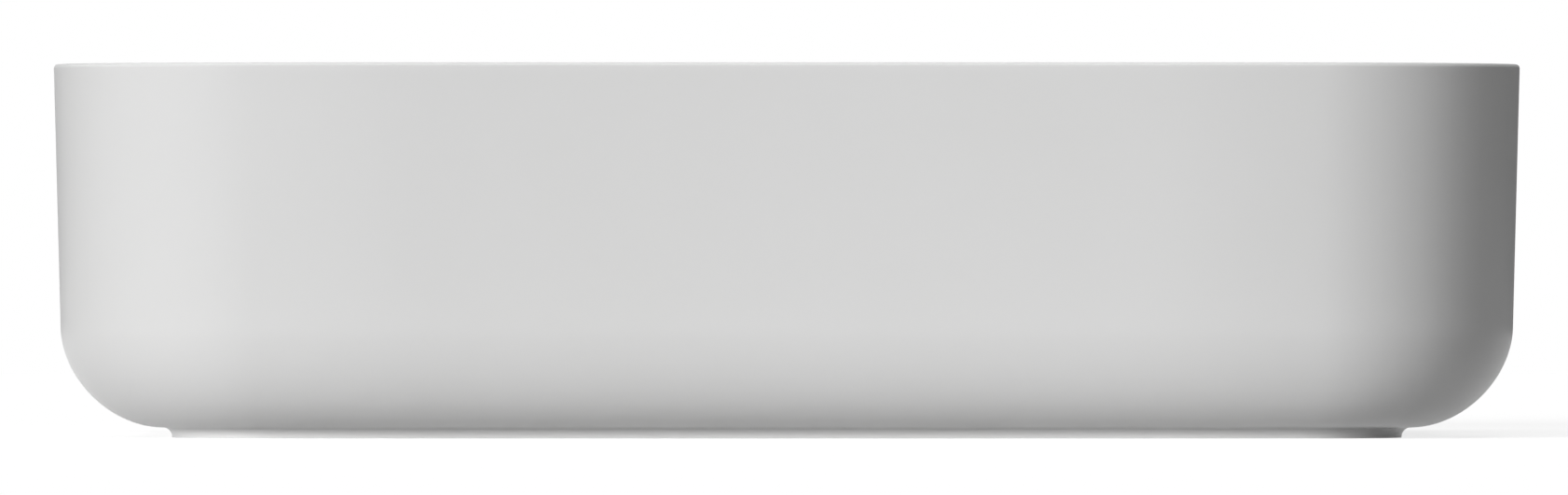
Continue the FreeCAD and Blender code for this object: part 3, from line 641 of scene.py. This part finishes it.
# Overflow: a plated brass ring in the back wall of the bowl, with a thin rubber gasket behind its flange.
# Three barbed legs snap behind the ceramic and hold it. Water runs through it into the duct.
def bent(start, corner, end, steps):
    """Points on the curve that leaves start towards the corner and comes to end from it."""
    shares = [k / steps for k in range(steps + 1)]
    return [tuple(start * (1 - t) ** 2 + corner * 2 * t * (1 - t) + end * t * t) for t in shares]


def eased(outline, ease, steps=4):
    """The closed outline with rounded corners, set back by at most two fifths of the edges beside them."""
    points = []
    most = 0.4
    for i, corner in enumerate(outline):
        corner = Vector(corner)
        before = Vector(outline[i - 1]) - corner
        after = Vector(outline[(i + 1) % len(outline)]) - corner
        if corner.x == 0:
            points.append((0.0, corner.y))
            continue
        start = corner + before.normalized() * min(ease, most * before.length)
        end = corner + after.normalized() * min(ease, most * after.length)
        points += bent(start, corner, end, steps)
    return points


def bright_chrome():
    """Chrome plating over polished brass, with the faint clouding that water and wiping leave."""
    colour = ((0.74, 0.75, 0.77), (0.80, 0.81, 0.82), 60)
    chrome = Finish("bright_chrome", colour, (0.05, 0.12, 240), metal=1.0)
    return chrome.relief((chrome.cloud(160, 1.0), 0.000008), (chrome.cloud(2600, 2.0), 0.0000006))


def black_rubber():
    colour = ((0.018, 0.018, 0.019), (0.034, 0.034, 0.035), 300)
    rubber = Finish("black_rubber", colour, (0.55, 0.72, 500))
    return rubber.relief((rubber.cloud(1800, 3.0), 0.00002))


TRIM_RADIUS = 0.015
TRIM_BORE = 0.009
TRIM_FACE = 0.003
TRIM_CLEARANCE = 0.0001
TRIM_SPIGOT = OVERFLOW_RADIUS - TRIM_CLEARANCE
TRIM_SEAT = 0.0008
TRIM_LEGS = 3
TRIM_LEG_END = -SKIN - 0.0024
TRIM_LEG_ROOT = -0.0015
TRIM_HALF_GAP = 0.0035
TRIM_BARB_TOP = -SKIN - TRIM_CLEARANCE
TRIM_BARB = 0.0008
TRIM_GASKET_BORE = TRIM_SPIGOT + 0.0002
TRIM_GASKET_RADIUS = TRIM_RADIUS - 0.001
chrome = bright_chrome()
rubber = black_rubber()
trim = turned("overflow_trim", eased([
    (TRIM_BORE, TRIM_LEG_END),
    (TRIM_SPIGOT, TRIM_LEG_END),
    (TRIM_SPIGOT + TRIM_BARB, (TRIM_LEG_END - SKIN) / 2),
    (TRIM_SPIGOT + TRIM_BARB, TRIM_BARB_TOP),
    (TRIM_SPIGOT, TRIM_BARB_TOP),
    (TRIM_SPIGOT, TRIM_SEAT),
    (TRIM_RADIUS, TRIM_SEAT),
    (TRIM_RADIUS, TRIM_FACE),
    (TRIM_BORE, TRIM_FACE),
], ease=0.0013), [chrome], y=0)
leg_gaps = []
gap_low = (0, -TRIM_HALF_GAP, TRIM_LEG_END - OVERCUT)
gap_high = (TRIM_RADIUS, TRIM_HALF_GAP, TRIM_LEG_ROOT)
for i in range(TRIM_LEGS):
    gap = block("leg_gap", gap_low, gap_high, [chrome])
    gap.data.transform(Matrix.Rotation(math.radians(90 + 360 * i / TRIM_LEGS), 4, "Z"))
    leg_gaps.append(gap)
shaped(trim, leg_gaps)
trim.data.transform(overflow_place)
fitted(crisp(trim, degrees=35), "overflow_trim_ring", "basin")

trim_gasket = turned("overflow_gasket", eased([
    (TRIM_GASKET_BORE, 0.0),
    (TRIM_GASKET_RADIUS, 0.0),
    (TRIM_GASKET_RADIUS, TRIM_SEAT),
    (TRIM_GASKET_BORE, TRIM_SEAT),
], ease=0.0003), [rubber], y=0)
trim_gasket.data.transform(overflow_place)
fitted(crisp(trim_gasket, degrees=35), "overflow_ring_gasket", "basin")


# Waste: a plated brass flange and threaded tail in one casting, slotted where it crosses the overflow duct,
# with a three-armed spider inside. A gasket lies under the flange. From below, a tapered rubber ring, a
# plastic washer and a brass back nut clamp it to the boss of the basin.
def helix_tree():
    """Node tree that winds a section along a helix, and the inputs that take its sizes."""
    tree = bpy.data.node_groups.new("wound_along_a_helix", "GeometryNodeTree")
    kinds = {
        "Turns": "NodeSocketFloat",
        "Radius": "NodeSocketFloat",
        "Rise": "NodeSocketFloat",
        "Section Radius": "NodeSocketFloat",
        "Section Sides": "NodeSocketInt",
        "Points a Turn": "NodeSocketInt",
        "Material": "NodeSocketMaterial",
    }
    inputs = {}
    for name, kind in kinds.items():
        inputs[name] = tree.interface.new_socket(name, in_out="INPUT", socket_type=kind).identifier
    tree.interface.new_socket("Geometry", in_out="OUTPUT", socket_type="NodeSocketGeometry")
    given = tree.nodes.new("NodeGroupInput").outputs
    spiral = tree.nodes.new("GeometryNodeCurveSpiral")
    upright = tree.nodes.new("GeometryNodeSetCurveNormal")
    upright.mode = "Z_UP"
    section = tree.nodes.new("GeometryNodeCurvePrimitiveCircle")
    swept = tree.nodes.new("GeometryNodeCurveToMesh")
    swept.inputs["Fill Caps"].default_value = True
    real = tree.nodes.new("GeometryNodeRealizeInstances")
    painted = tree.nodes.new("GeometryNodeSetMaterial")
    result = tree.nodes.new("NodeGroupOutput")
    for source, target in (
        (given["Points a Turn"], spiral.inputs["Resolution"]),
        (given["Turns"], spiral.inputs["Rotations"]),
        (given["Radius"], spiral.inputs["Start Radius"]),
        (given["Radius"], spiral.inputs["End Radius"]),
        (given["Rise"], spiral.inputs["Height"]),
        (given["Section Sides"], section.inputs["Resolution"]),
        (given["Section Radius"], section.inputs["Radius"]),
        (given["Material"], painted.inputs["Material"]),
        (spiral.outputs["Curve"], upright.inputs["Curve"]),
        (upright.outputs["Curve"], swept.inputs["Curve"]),
        (section.outputs["Curve"], swept.inputs["Profile Curve"]),
        (swept.outputs["Mesh"], real.inputs["Geometry"]),
        (real.outputs["Geometry"], painted.inputs["Geometry"]),
        (painted.outputs["Geometry"], result.inputs["Geometry"]),
    ):
        tree.links.new(source, target)
    return tree, inputs


helix, helix_inputs = helix_tree()


def wound(name, start, **sizes):
    """A mesh wound by the helix tree, rising from its start on the waste's axis."""
    piece = bpy.data.objects.new(name, bpy.data.meshes.new(name))
    bpy.context.scene.collection.objects.link(piece)
    winding = piece.modifiers.new("winding", "NODES")
    winding.node_group = helix
    for label, value in sizes.items():
        winding[helix_inputs[label.replace("_", " ")]] = value
    mesh = baked(piece)
    skin = bmesh.new()
    skin.from_mesh(mesh)
    bmesh.ops.remove_doubles(skin, verts=skin.verts, dist=1e-7)
    bmesh.ops.recalc_face_normals(skin, faces=skin.faces)
    skin.to_mesh(mesh)
    skin.free()
    mesh.transform(Matrix.Translation((0, WASTE_Y, start)))
    return piece


def hexagon_nut(name, flats, bore, low, high, chamfer, materials):
    corner = flats / math.sqrt(3)
    outside = corner + 0.0001
    hexagon = prism(name, sweep((0, WASTE_Y), corner, 0, 360, 6), low, high, materials)
    chamfered = turned("chamfered", eased([
        (bore, low),
        (corner - chamfer, low),
        (outside, low + chamfer / 2),
        (outside, high - chamfer / 2),
        (corner - chamfer, high),
        (bore, high),
    ], ease=0.0003), materials)
    return crisp(shaped(hexagon, [chamfered], "INTERSECT"), degrees=20)


def washer(name, inner, outer, low, high, ease, materials):
    outline = [(inner, low), (outer, low), (outer, high), (inner, high)]
    return crisp(turned(name, eased(outline, ease), materials), degrees=35)


def turned_brass():
    """Bare brass from the lathe: fine lines round the piece, and a brown bloom from handling."""
    colour = ((0.50, 0.35, 0.15), (0.72, 0.55, 0.27), 45)
    brass = Finish("turned_brass", colour, (0.29, 0.40, 180), metal=1.0)
    lines = brass.cloud(1.0, 1.0, brass.drawn_out(60, 60, 5200))
    return brass.relief((lines, 0.00001))


def moulded_acetal():
    """White engineering plastic from a spark-eroded mould, slightly waxy."""
    colour = ((0.74, 0.74, 0.72), (0.80, 0.80, 0.79), 80)
    acetal = Finish("moulded_acetal", colour, (0.34, 0.46, 260))
    return acetal.relief((acetal.cloud(1500, 2.0), 0.000012))


waste_low, waste_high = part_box("waste_body")
FLANGE_RADIUS = waste_high.x
FLANGE_UNDERSIDE = BOWL_FLOOR - 0.002
TAIL_END = waste_low.z
TAIL_END_RADIUS = 0.020
TAIL_END_TOP = TAIL_END + 0.010
TAIL_CHAMFER = 0.001
TAIL_RADIUS = 0.02095
TAIL_BORE = 0.018
THREAD_ROOT = 0.02030
THREAD_PITCH = 0.0015
THREAD_TOP = 0.046
THROAT_FLARE = 0.0025
SPIDER_LOW = TAIL_END + 0.007
SPIDER_HIGH = SPIDER_LOW + 0.005
SPIDER_ARMS = 3
SPIDER_HUB = 0.008
SPIDER_HALF_ARM = 0.00175
SPIGOT_RADIUS = 0.004
THREAD_GAP = 0.0001
SLOT_HALF_WIDTH = 0.008
SLOT_TOP = BOWL_FLOOR - SKIN - 0.001
SLOT_LOW = BOWL_FLOOR - SKIN - DUCT_GAP + 0.001
brass = turned_brass()
acetal = moulded_acetal()

waste = turned("waste_flange_and_tail", eased([
    (TAIL_BORE, TAIL_END),
    (TAIL_END_RADIUS - TAIL_CHAMFER, TAIL_END),
    (TAIL_END_RADIUS, TAIL_END + TAIL_CHAMFER),
    (TAIL_END_RADIUS, TAIL_END_TOP),
    (THREAD_ROOT, TAIL_END_TOP),
    (THREAD_ROOT, THREAD_TOP),
    (TAIL_RADIUS, THREAD_TOP + TAIL_RADIUS - THREAD_ROOT),
    (TAIL_RADIUS, FLANGE_UNDERSIDE),
    (FLANGE_RADIUS, FLANGE_UNDERSIDE),
    (FLANGE_RADIUS, BOWL_FLOOR),
    (TAIL_BORE + THROAT_FLARE, BOWL_FLOOR),
    (TAIL_BORE, BOWL_FLOOR - THROAT_FLARE),
], ease=0.0006), [chrome], steps=144)
thread_depth = TAIL_RADIUS - THREAD_ROOT
thread_rise = THREAD_TOP - TAIL_END_TOP - 2 * thread_depth
thread = wound(
    "tail_thread",
    TAIL_END_TOP + thread_depth,
    Turns=thread_rise / THREAD_PITCH,
    Radius=THREAD_ROOT,
    Rise=thread_rise,
    Section_Radius=thread_depth,
    Section_Sides=4,
    Points_a_Turn=60,
    Material=chrome,
)
arms = []
arm_low = (0, -SPIDER_HALF_ARM, SPIDER_LOW)
arm_high = (TAIL_BORE + OVERCUT, SPIDER_HALF_ARM, SPIDER_HIGH)
for i in range(SPIDER_ARMS):
    arm = block("spider_arm", arm_low, arm_high, [chrome])
    turn = Matrix.Rotation(math.radians(90 + 360 * i / SPIDER_ARMS), 4, "Z")
    arm.data.transform(Matrix.Translation((0, WASTE_Y, 0)) @ turn)
    arms.append(arm)
hub = rod("spider_hub", SPIDER_HUB, SPIDER_LOW, SPIDER_HIGH, [chrome])
shaped(waste, [thread, hub] + arms, "UNION")
slot_low = (-SLOT_HALF_WIDTH, WASTE_Y - TAIL_RADIUS - OVERCUT, SLOT_LOW)
slot_high = (SLOT_HALF_WIDTH, WASTE_Y + TAIL_RADIUS + OVERCUT, SLOT_TOP)
shaped(waste, [
    block("slots", slot_low, slot_high, [chrome]),
    rod("spigot_hole", SPIGOT_RADIUS + THREAD_GAP, SPIDER_LOW - OVERCUT, SPIDER_HIGH + OVERCUT, [chrome]),
])
fitted(crisp(waste, degrees=30), "waste_body", "basin")

CLAMP_BORE = TAIL_RADIUS + THREAD_GAP
GASKET_LOW = BOSS_UNDERSIDE - 0.004
WASHER_LOW = GASKET_LOW - 0.0015
NUT_LOW = WASHER_LOW - 0.006
NUT_FLATS = 0.054
NUT_CHAMFER = 0.002
WASHER_RADIUS = 0.029
GASKET_RADIUS = 0.028
GASKET_TAPER = 0.002
PLUG_OF_GASKET = WASTE_HOLE_RADIUS - THREAD_GAP
TOP_GASKET_RADIUS = FLANGE_RADIUS - 0.001
top_gasket = washer(
    "waste_top_seal", CLAMP_BORE, TOP_GASKET_RADIUS, RECESS_SEAT, FLANGE_UNDERSIDE, 0.0004, [rubber]
)
fitted(top_gasket, "waste_top_gasket", "basin")
bottom_gasket = turned("waste_bottom_seal", eased([
    (CLAMP_BORE, GASKET_LOW),
    (GASKET_RADIUS, GASKET_LOW),
    (GASKET_RADIUS, BOSS_UNDERSIDE),
    (PLUG_OF_GASKET, BOSS_UNDERSIDE),
    ((CLAMP_BORE + PLUG_OF_GASKET) / 2, BOSS_UNDERSIDE + GASKET_TAPER),
    (CLAMP_BORE, BOSS_UNDERSIDE + GASKET_TAPER),
], ease=0.0006), [rubber])
fitted(crisp(bottom_gasket, degrees=35), "waste_bottom_gasket", "basin")
slip_washer = washer(
    "waste_slip_washer", CLAMP_BORE, WASHER_RADIUS, WASHER_LOW, GASKET_LOW, 0.0003, [acetal]
)
fitted(slip_washer, "waste_washer", "basin")
back_nut = hexagon_nut("waste_nut", NUT_FLATS, CLAMP_BORE, NUT_LOW, WASHER_LOW, NUT_CHAMFER, [brass])
fitted(back_nut, "waste_back_nut", "basin")


# Click cartridge: a brass barrel screwed into the spider. A coil spring in it lifts a toothed plastic rotor
# towards the toothed collar of the brass plunger. A ring with a small O-ring closes the barrel round the
# plunger's rod. Ring, O-ring, rotor and plunger keep their CAD meshes and only take their finish here.
def drawn_steel():
    """Spring wire, drawn bright: a fine grain and little else."""
    colour = ((0.50, 0.50, 0.52), (0.62, 0.62, 0.63), 400)
    steel = Finish("drawn_steel", colour, (0.20, 0.34, 900), metal=1.0)
    return steel.relief((steel.cloud(5000, 1.0), 0.000002))


BARREL_LOW = SPIDER_HIGH
BARREL_HIGH = BARREL_LOW + 0.024
BARREL_RADIUS = 0.008
BARREL_BORE = 0.0056
BARREL_FLOOR = BARREL_LOW + 0.002
RING_RADIUS = 0.0066
RING_LOW = BARREL_HIGH - 0.003
SPANNER_HALF_FLATS = 0.007
SPANNER_REACH = 0.010
SPANNER_TOP = BARREL_LOW + 0.006
SPRING_TURNS = 3.0
SPRING_WIRE = 0.00035
SPRING_RADIUS = 0.0048 - SPRING_WIRE
SPRING_GAP = 0.00005
steel = drawn_steel()
barrel = turned("cartridge_barrel", eased([
    (0.0, SPIDER_LOW),
    (SPIGOT_RADIUS, SPIDER_LOW),
    (SPIGOT_RADIUS, BARREL_LOW),
    (BARREL_RADIUS, BARREL_LOW),
    (BARREL_RADIUS, BARREL_HIGH),
    (RING_RADIUS, BARREL_HIGH),
    (RING_RADIUS, RING_LOW),
    (BARREL_BORE, RING_LOW),
    (BARREL_BORE, BARREL_FLOOR),
    (0.0, BARREL_FLOOR),
], ease=0.0003), [brass])
flats = []
for side in (-1, 1):
    flat_low = (side * SPANNER_HALF_FLATS, WASTE_Y - SPANNER_REACH, BARREL_LOW - OVERCUT)
    flat_high = (side * SPANNER_REACH, WASTE_Y + SPANNER_REACH, SPANNER_TOP)
    flats.append(block("spanner_flat", flat_low, flat_high, [brass]))
fitted(crisp(shaped(barrel, flats), degrees=35), "click_housing", "basin")

spring_start = BARREL_FLOOR + SPRING_GAP + SPRING_WIRE
spring_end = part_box("click_rotor")[0].z - SPRING_GAP - SPRING_WIRE
spring = wound(
    "cartridge_spring",
    spring_start,
    Turns=SPRING_TURNS,
    Radius=SPRING_RADIUS,
    Rise=spring_end - spring_start,
    Section_Radius=SPRING_WIRE,
    Section_Sides=16,
    Points_a_Turn=48,
    Material=steel,
)
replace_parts(crisp(spring, degrees=50), "click_spring")
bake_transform(spring)

for node, material in {
    "click_retaining_ring": brass,
    "click_o_ring": rubber,
    "click_rotor": acetal,
    "click_plunger": brass,
}.items():
    part = frame["nodes"][node]
    part.data.materials.clear()
    part.data.materials.append(material)


# Plug: a domed cap of plated brass on a boss that screws down the plunger's rod, locked by a small nut.
# A plastic disc round the boss carries the rubber ring that seals in the throat of the waste.
cap_low, cap_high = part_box("plug_cap")
CAP_RADIUS = cap_high.x
CAP_UNDERSIDE = BOWL_FLOOR + 0.0003
CAP_SHOULDER = CAP_UNDERSIDE + 0.0022
CAP_CROWN = cap_high.z
CAP_ROUND = 0.0011
CAP_EDGE = 0.0003
BOSS_LOW = cap_low.z
CAP_BOSS = 0.006
ROD_HOLE = 0.0036
ROD_HOLE_TOP = BOSS_LOW + 0.005
dome_rise = CAP_CROWN - CAP_SHOULDER
dome_radius = (CAP_RADIUS ** 2 + dome_rise ** 2) / (2 * dome_rise)
dome_turn = math.degrees(math.asin(CAP_RADIUS / dome_radius))
dome = [(dome_radius * c, CAP_CROWN - dome_radius * (1 - s)) for c, s in quarter(20, 90, 90 - dome_turn)]
dome[0] = (0.0, CAP_CROWN)
side = Vector((CAP_RADIUS, CAP_SHOULDER - CAP_ROUND))
round_over = bent(Vector(dome[-2]), Vector(dome[-1]), side, 8)
cap = turned("plug_dome", dome[:-1] + round_over[1:] + [
    (CAP_RADIUS, CAP_UNDERSIDE + CAP_EDGE),
    (CAP_RADIUS - CAP_EDGE, CAP_UNDERSIDE),
    (CAP_BOSS, CAP_UNDERSIDE),
    (CAP_BOSS, BOSS_LOW + CAP_EDGE),
    (CAP_BOSS - CAP_EDGE, BOSS_LOW),
    (ROD_HOLE, BOSS_LOW),
    (ROD_HOLE, ROD_HOLE_TOP),
    (0.0, ROD_HOLE_TOP),
], [chrome], steps=144)
fitted(crisp(cap, degrees=30), "plug_cap", "plug")

LOCK_NUT_FLATS = 0.011
LOCK_NUT_LOW = BOSS_LOW - 0.0025
LOCK_NUT_CHAMFER = 0.0006
lock_nut = hexagon_nut(
    "plug_nut", LOCK_NUT_FLATS, ROD_HOLE, LOCK_NUT_LOW, BOSS_LOW, LOCK_NUT_CHAMFER, [brass]
)
fitted(lock_nut, "plug_lock_nut", "plug")

SEAL_WIRE = 0.0012
SEAL_CLEARANCE = 0.0002
SEAL_HEIGHT = CAP_UNDERSIDE - 0.0001 - SEAL_WIRE
flare_radius = TAIL_BORE + SEAL_HEIGHT - (BOWL_FLOOR - THROAT_FLARE)
SEAL_RADIUS = flare_radius - (SEAL_WIRE + SEAL_CLEARANCE) * math.sqrt(2)


def round_the_seal(steps, start, end):
    """Points on the seal's round section, from one angle to another."""
    turns = quarter(steps, start, end)
    return [(SEAL_RADIUS + SEAL_WIRE * c, SEAL_HEIGHT + SEAL_WIRE * s) for c, s in turns]


seal = turned("plug_seal_ring", round_the_seal(24, 0, 360)[:-1], [rubber], steps=144)
fitted(crisp(seal, degrees=60), "plug_seal", "plug")

CARRIER_LOW = CAP_UNDERSIDE - 0.003
CARRIER_BORE = CAP_BOSS + THREAD_GAP
carrier = turned("plug_seal_carrier", [
    (CARRIER_BORE, CARRIER_LOW),
    (SEAL_RADIUS, CARRIER_LOW),
    *round_the_seal(12, 270, 90),
    (SEAL_RADIUS, CAP_UNDERSIDE),
    (CARRIER_BORE, CAP_UNDERSIDE),
], [acetal], steps=144)
fitted(crisp(carrier, degrees=30), "plug_carrier", "plug")


# Studio: a pale floor, a low key light at the front left, a weak fill from the front and a soft light
# overhead. Two more lights, overhead and behind, fall on the pieces alone, and a grey card shows in
# reflections. The camera stands level with the front wall, far off with a long lens.
camera_data = bpy.data.cameras.new("camera")
camera = bpy.data.objects.new("camera", camera_data)
bpy.context.scene.collection.objects.link(camera)
bpy.context.scene.camera = camera
VIEW_DISTANCE = 8.0
VIEW_WIDTH = 0.5818
VIEW_X = -0.00105
VIEW_HEIGHT = 0.0713
camera_data.sensor_width = 36.0
camera_data.lens = camera_data.sensor_width * VIEW_DISTANCE / VIEW_WIDTH
camera.location = (VIEW_X, FRONT - VIEW_DISTANCE, VIEW_HEIGHT)
camera.rotation_euler = (math.radians(90), 0, 0)
camera_data.clip_end = 30.0


def sheet(name, corners):
    mesh = bpy.data.meshes.new(name)
    mesh.from_pydata(corners, [], [(0, 1, 2, 3)])
    flat = bpy.data.objects.new(name, mesh)
    bpy.context.scene.collection.objects.link(flat)
    return flat


REACH = 4.0
floor = sheet("floor", [(-REACH, -REACH, 0), (REACH, -REACH, 0), (REACH, REACH, 0), (-REACH, REACH, 0)])


def seen_directly(tree):
    """1 for what the camera sees, in a mirror or through glass too, and 0 for what lights the scene."""
    path = tree.nodes.new("ShaderNodeLightPath").outputs
    total = path["Is Camera Ray"]
    for ray in ("Is Glossy Ray", "Is Transmission Ray"):
        either = tree.nodes.new("ShaderNodeMath")
        either.operation = "MAXIMUM"
        tree.links.new(total, either.inputs[0])
        tree.links.new(path[ray], either.inputs[1])
        total = either.outputs["Value"]
    return total


# A dark grey card stands behind the basin and is seen only in reflections. It keeps the pale edges dark
# enough to tell from the white behind them, as it does in a photographer's studio.
CARD_Y = 1.0
CARD_LOW = 0.001
CARD_HIGH = 3.0
card = sheet("grey_card", [
    (-REACH, CARD_Y, CARD_LOW),
    (REACH, CARD_Y, CARD_LOW),
    (REACH, CARD_Y, CARD_HIGH),
    (-REACH, CARD_Y, CARD_HIGH),
])
for ray in ("camera", "diffuse", "transmission", "volume_scatter", "shadow"):
    setattr(card, "visible_" + ray, False)
CARD_GREY = 0.22
matt_grey = bpy.data.materials.new("matt_grey")
matt_grey.use_nodes = True
board = matt_grey.node_tree.nodes["Principled BSDF"]
board.inputs["Base Color"].default_value = (CARD_GREY, CARD_GREY, CARD_GREY, 1)
board.inputs["Roughness"].default_value = 0.9
card.data.materials.append(matt_grey)

# The floor is lit as any grey surface is, so it keeps the shadow. It looks white by a glow that only the
# camera and reflections see, and that lights nothing.
FLOOR_GREY = 0.66
FLOOR_LIFT = 0.78
backdrop = bpy.data.materials.new("pale_floor")
backdrop.use_nodes = True
paint = backdrop.node_tree.nodes["Principled BSDF"]
paint.inputs["Base Color"].default_value = (FLOOR_GREY, FLOOR_GREY, FLOOR_GREY, 1)
paint.inputs["Roughness"].default_value = 1.0
paint.inputs["Specular IOR Level"].default_value = 0.0
paint.inputs["Emission Color"].default_value = (1, 1, 1, 1)
lift = backdrop.node_tree.nodes.new("ShaderNodeMath")
lift.operation = "MULTIPLY"
lift.inputs[1].default_value = FLOOR_LIFT
backdrop.node_tree.links.new(seen_directly(backdrop.node_tree), lift.inputs[0])
backdrop.node_tree.links.new(lift.outputs["Value"], paint.inputs["Emission Strength"])
floor.data.materials.append(backdrop)


def lamp(name, strength, spread, turn, lit=None):
    """A far, broad light. With a collection to light, it is flagged off everything else."""
    data = bpy.data.lights.new(name, "SUN")
    data.energy = strength
    data.angle = math.radians(spread)
    light = bpy.data.objects.new(name, data)
    light.rotation_euler = [math.radians(angle) for angle in turn]
    light.light_linking.receiver_collection = lit
    bpy.context.scene.collection.objects.link(light)
    return light


# Two lights are kept off the floor, because the floor would throw them back up at the sides.
pieces = bpy.data.collections.new("pieces")
for thing in bpy.context.scene.objects:
    if thing.type == "MESH" and thing not in (floor, card):
        pieces.objects.link(thing)
key = lamp("key", 2.13, 20, (80, 0, -39))
key.visible_glossy = False  # the glaze doesn't mirror it: from behind, its glare would bleach the deck
lamp("fill", 0.5, 50, (88, 0, 0))
lamp("overhead", 0.6, 50, (0, 0, 0))
lamp("overhead_flagged", 0.85, 30, (0, 0, 0), pieces)
lamp("back_flagged", 0.8, 40, (68, 0, -155), pieces)
AMBIENT = 0.01
world = bpy.data.worlds.new("world")
bpy.context.scene.world = world
world.use_nodes = True
sky = world.node_tree.nodes["Background"]
sky.inputs["Color"].default_value = (1, 1, 1, 1)
brightness = world.node_tree.nodes.new("ShaderNodeMapRange")
brightness.inputs["To Min"].default_value = AMBIENT
brightness.inputs["To Max"].default_value = 1.0
world.node_tree.links.new(seen_directly(world.node_tree), brightness.inputs["Value"])
world.node_tree.links.new(brightness.outputs["Result"], sky.inputs["Strength"])

bpy.context.scene.view_settings.view_transform = "Standard"
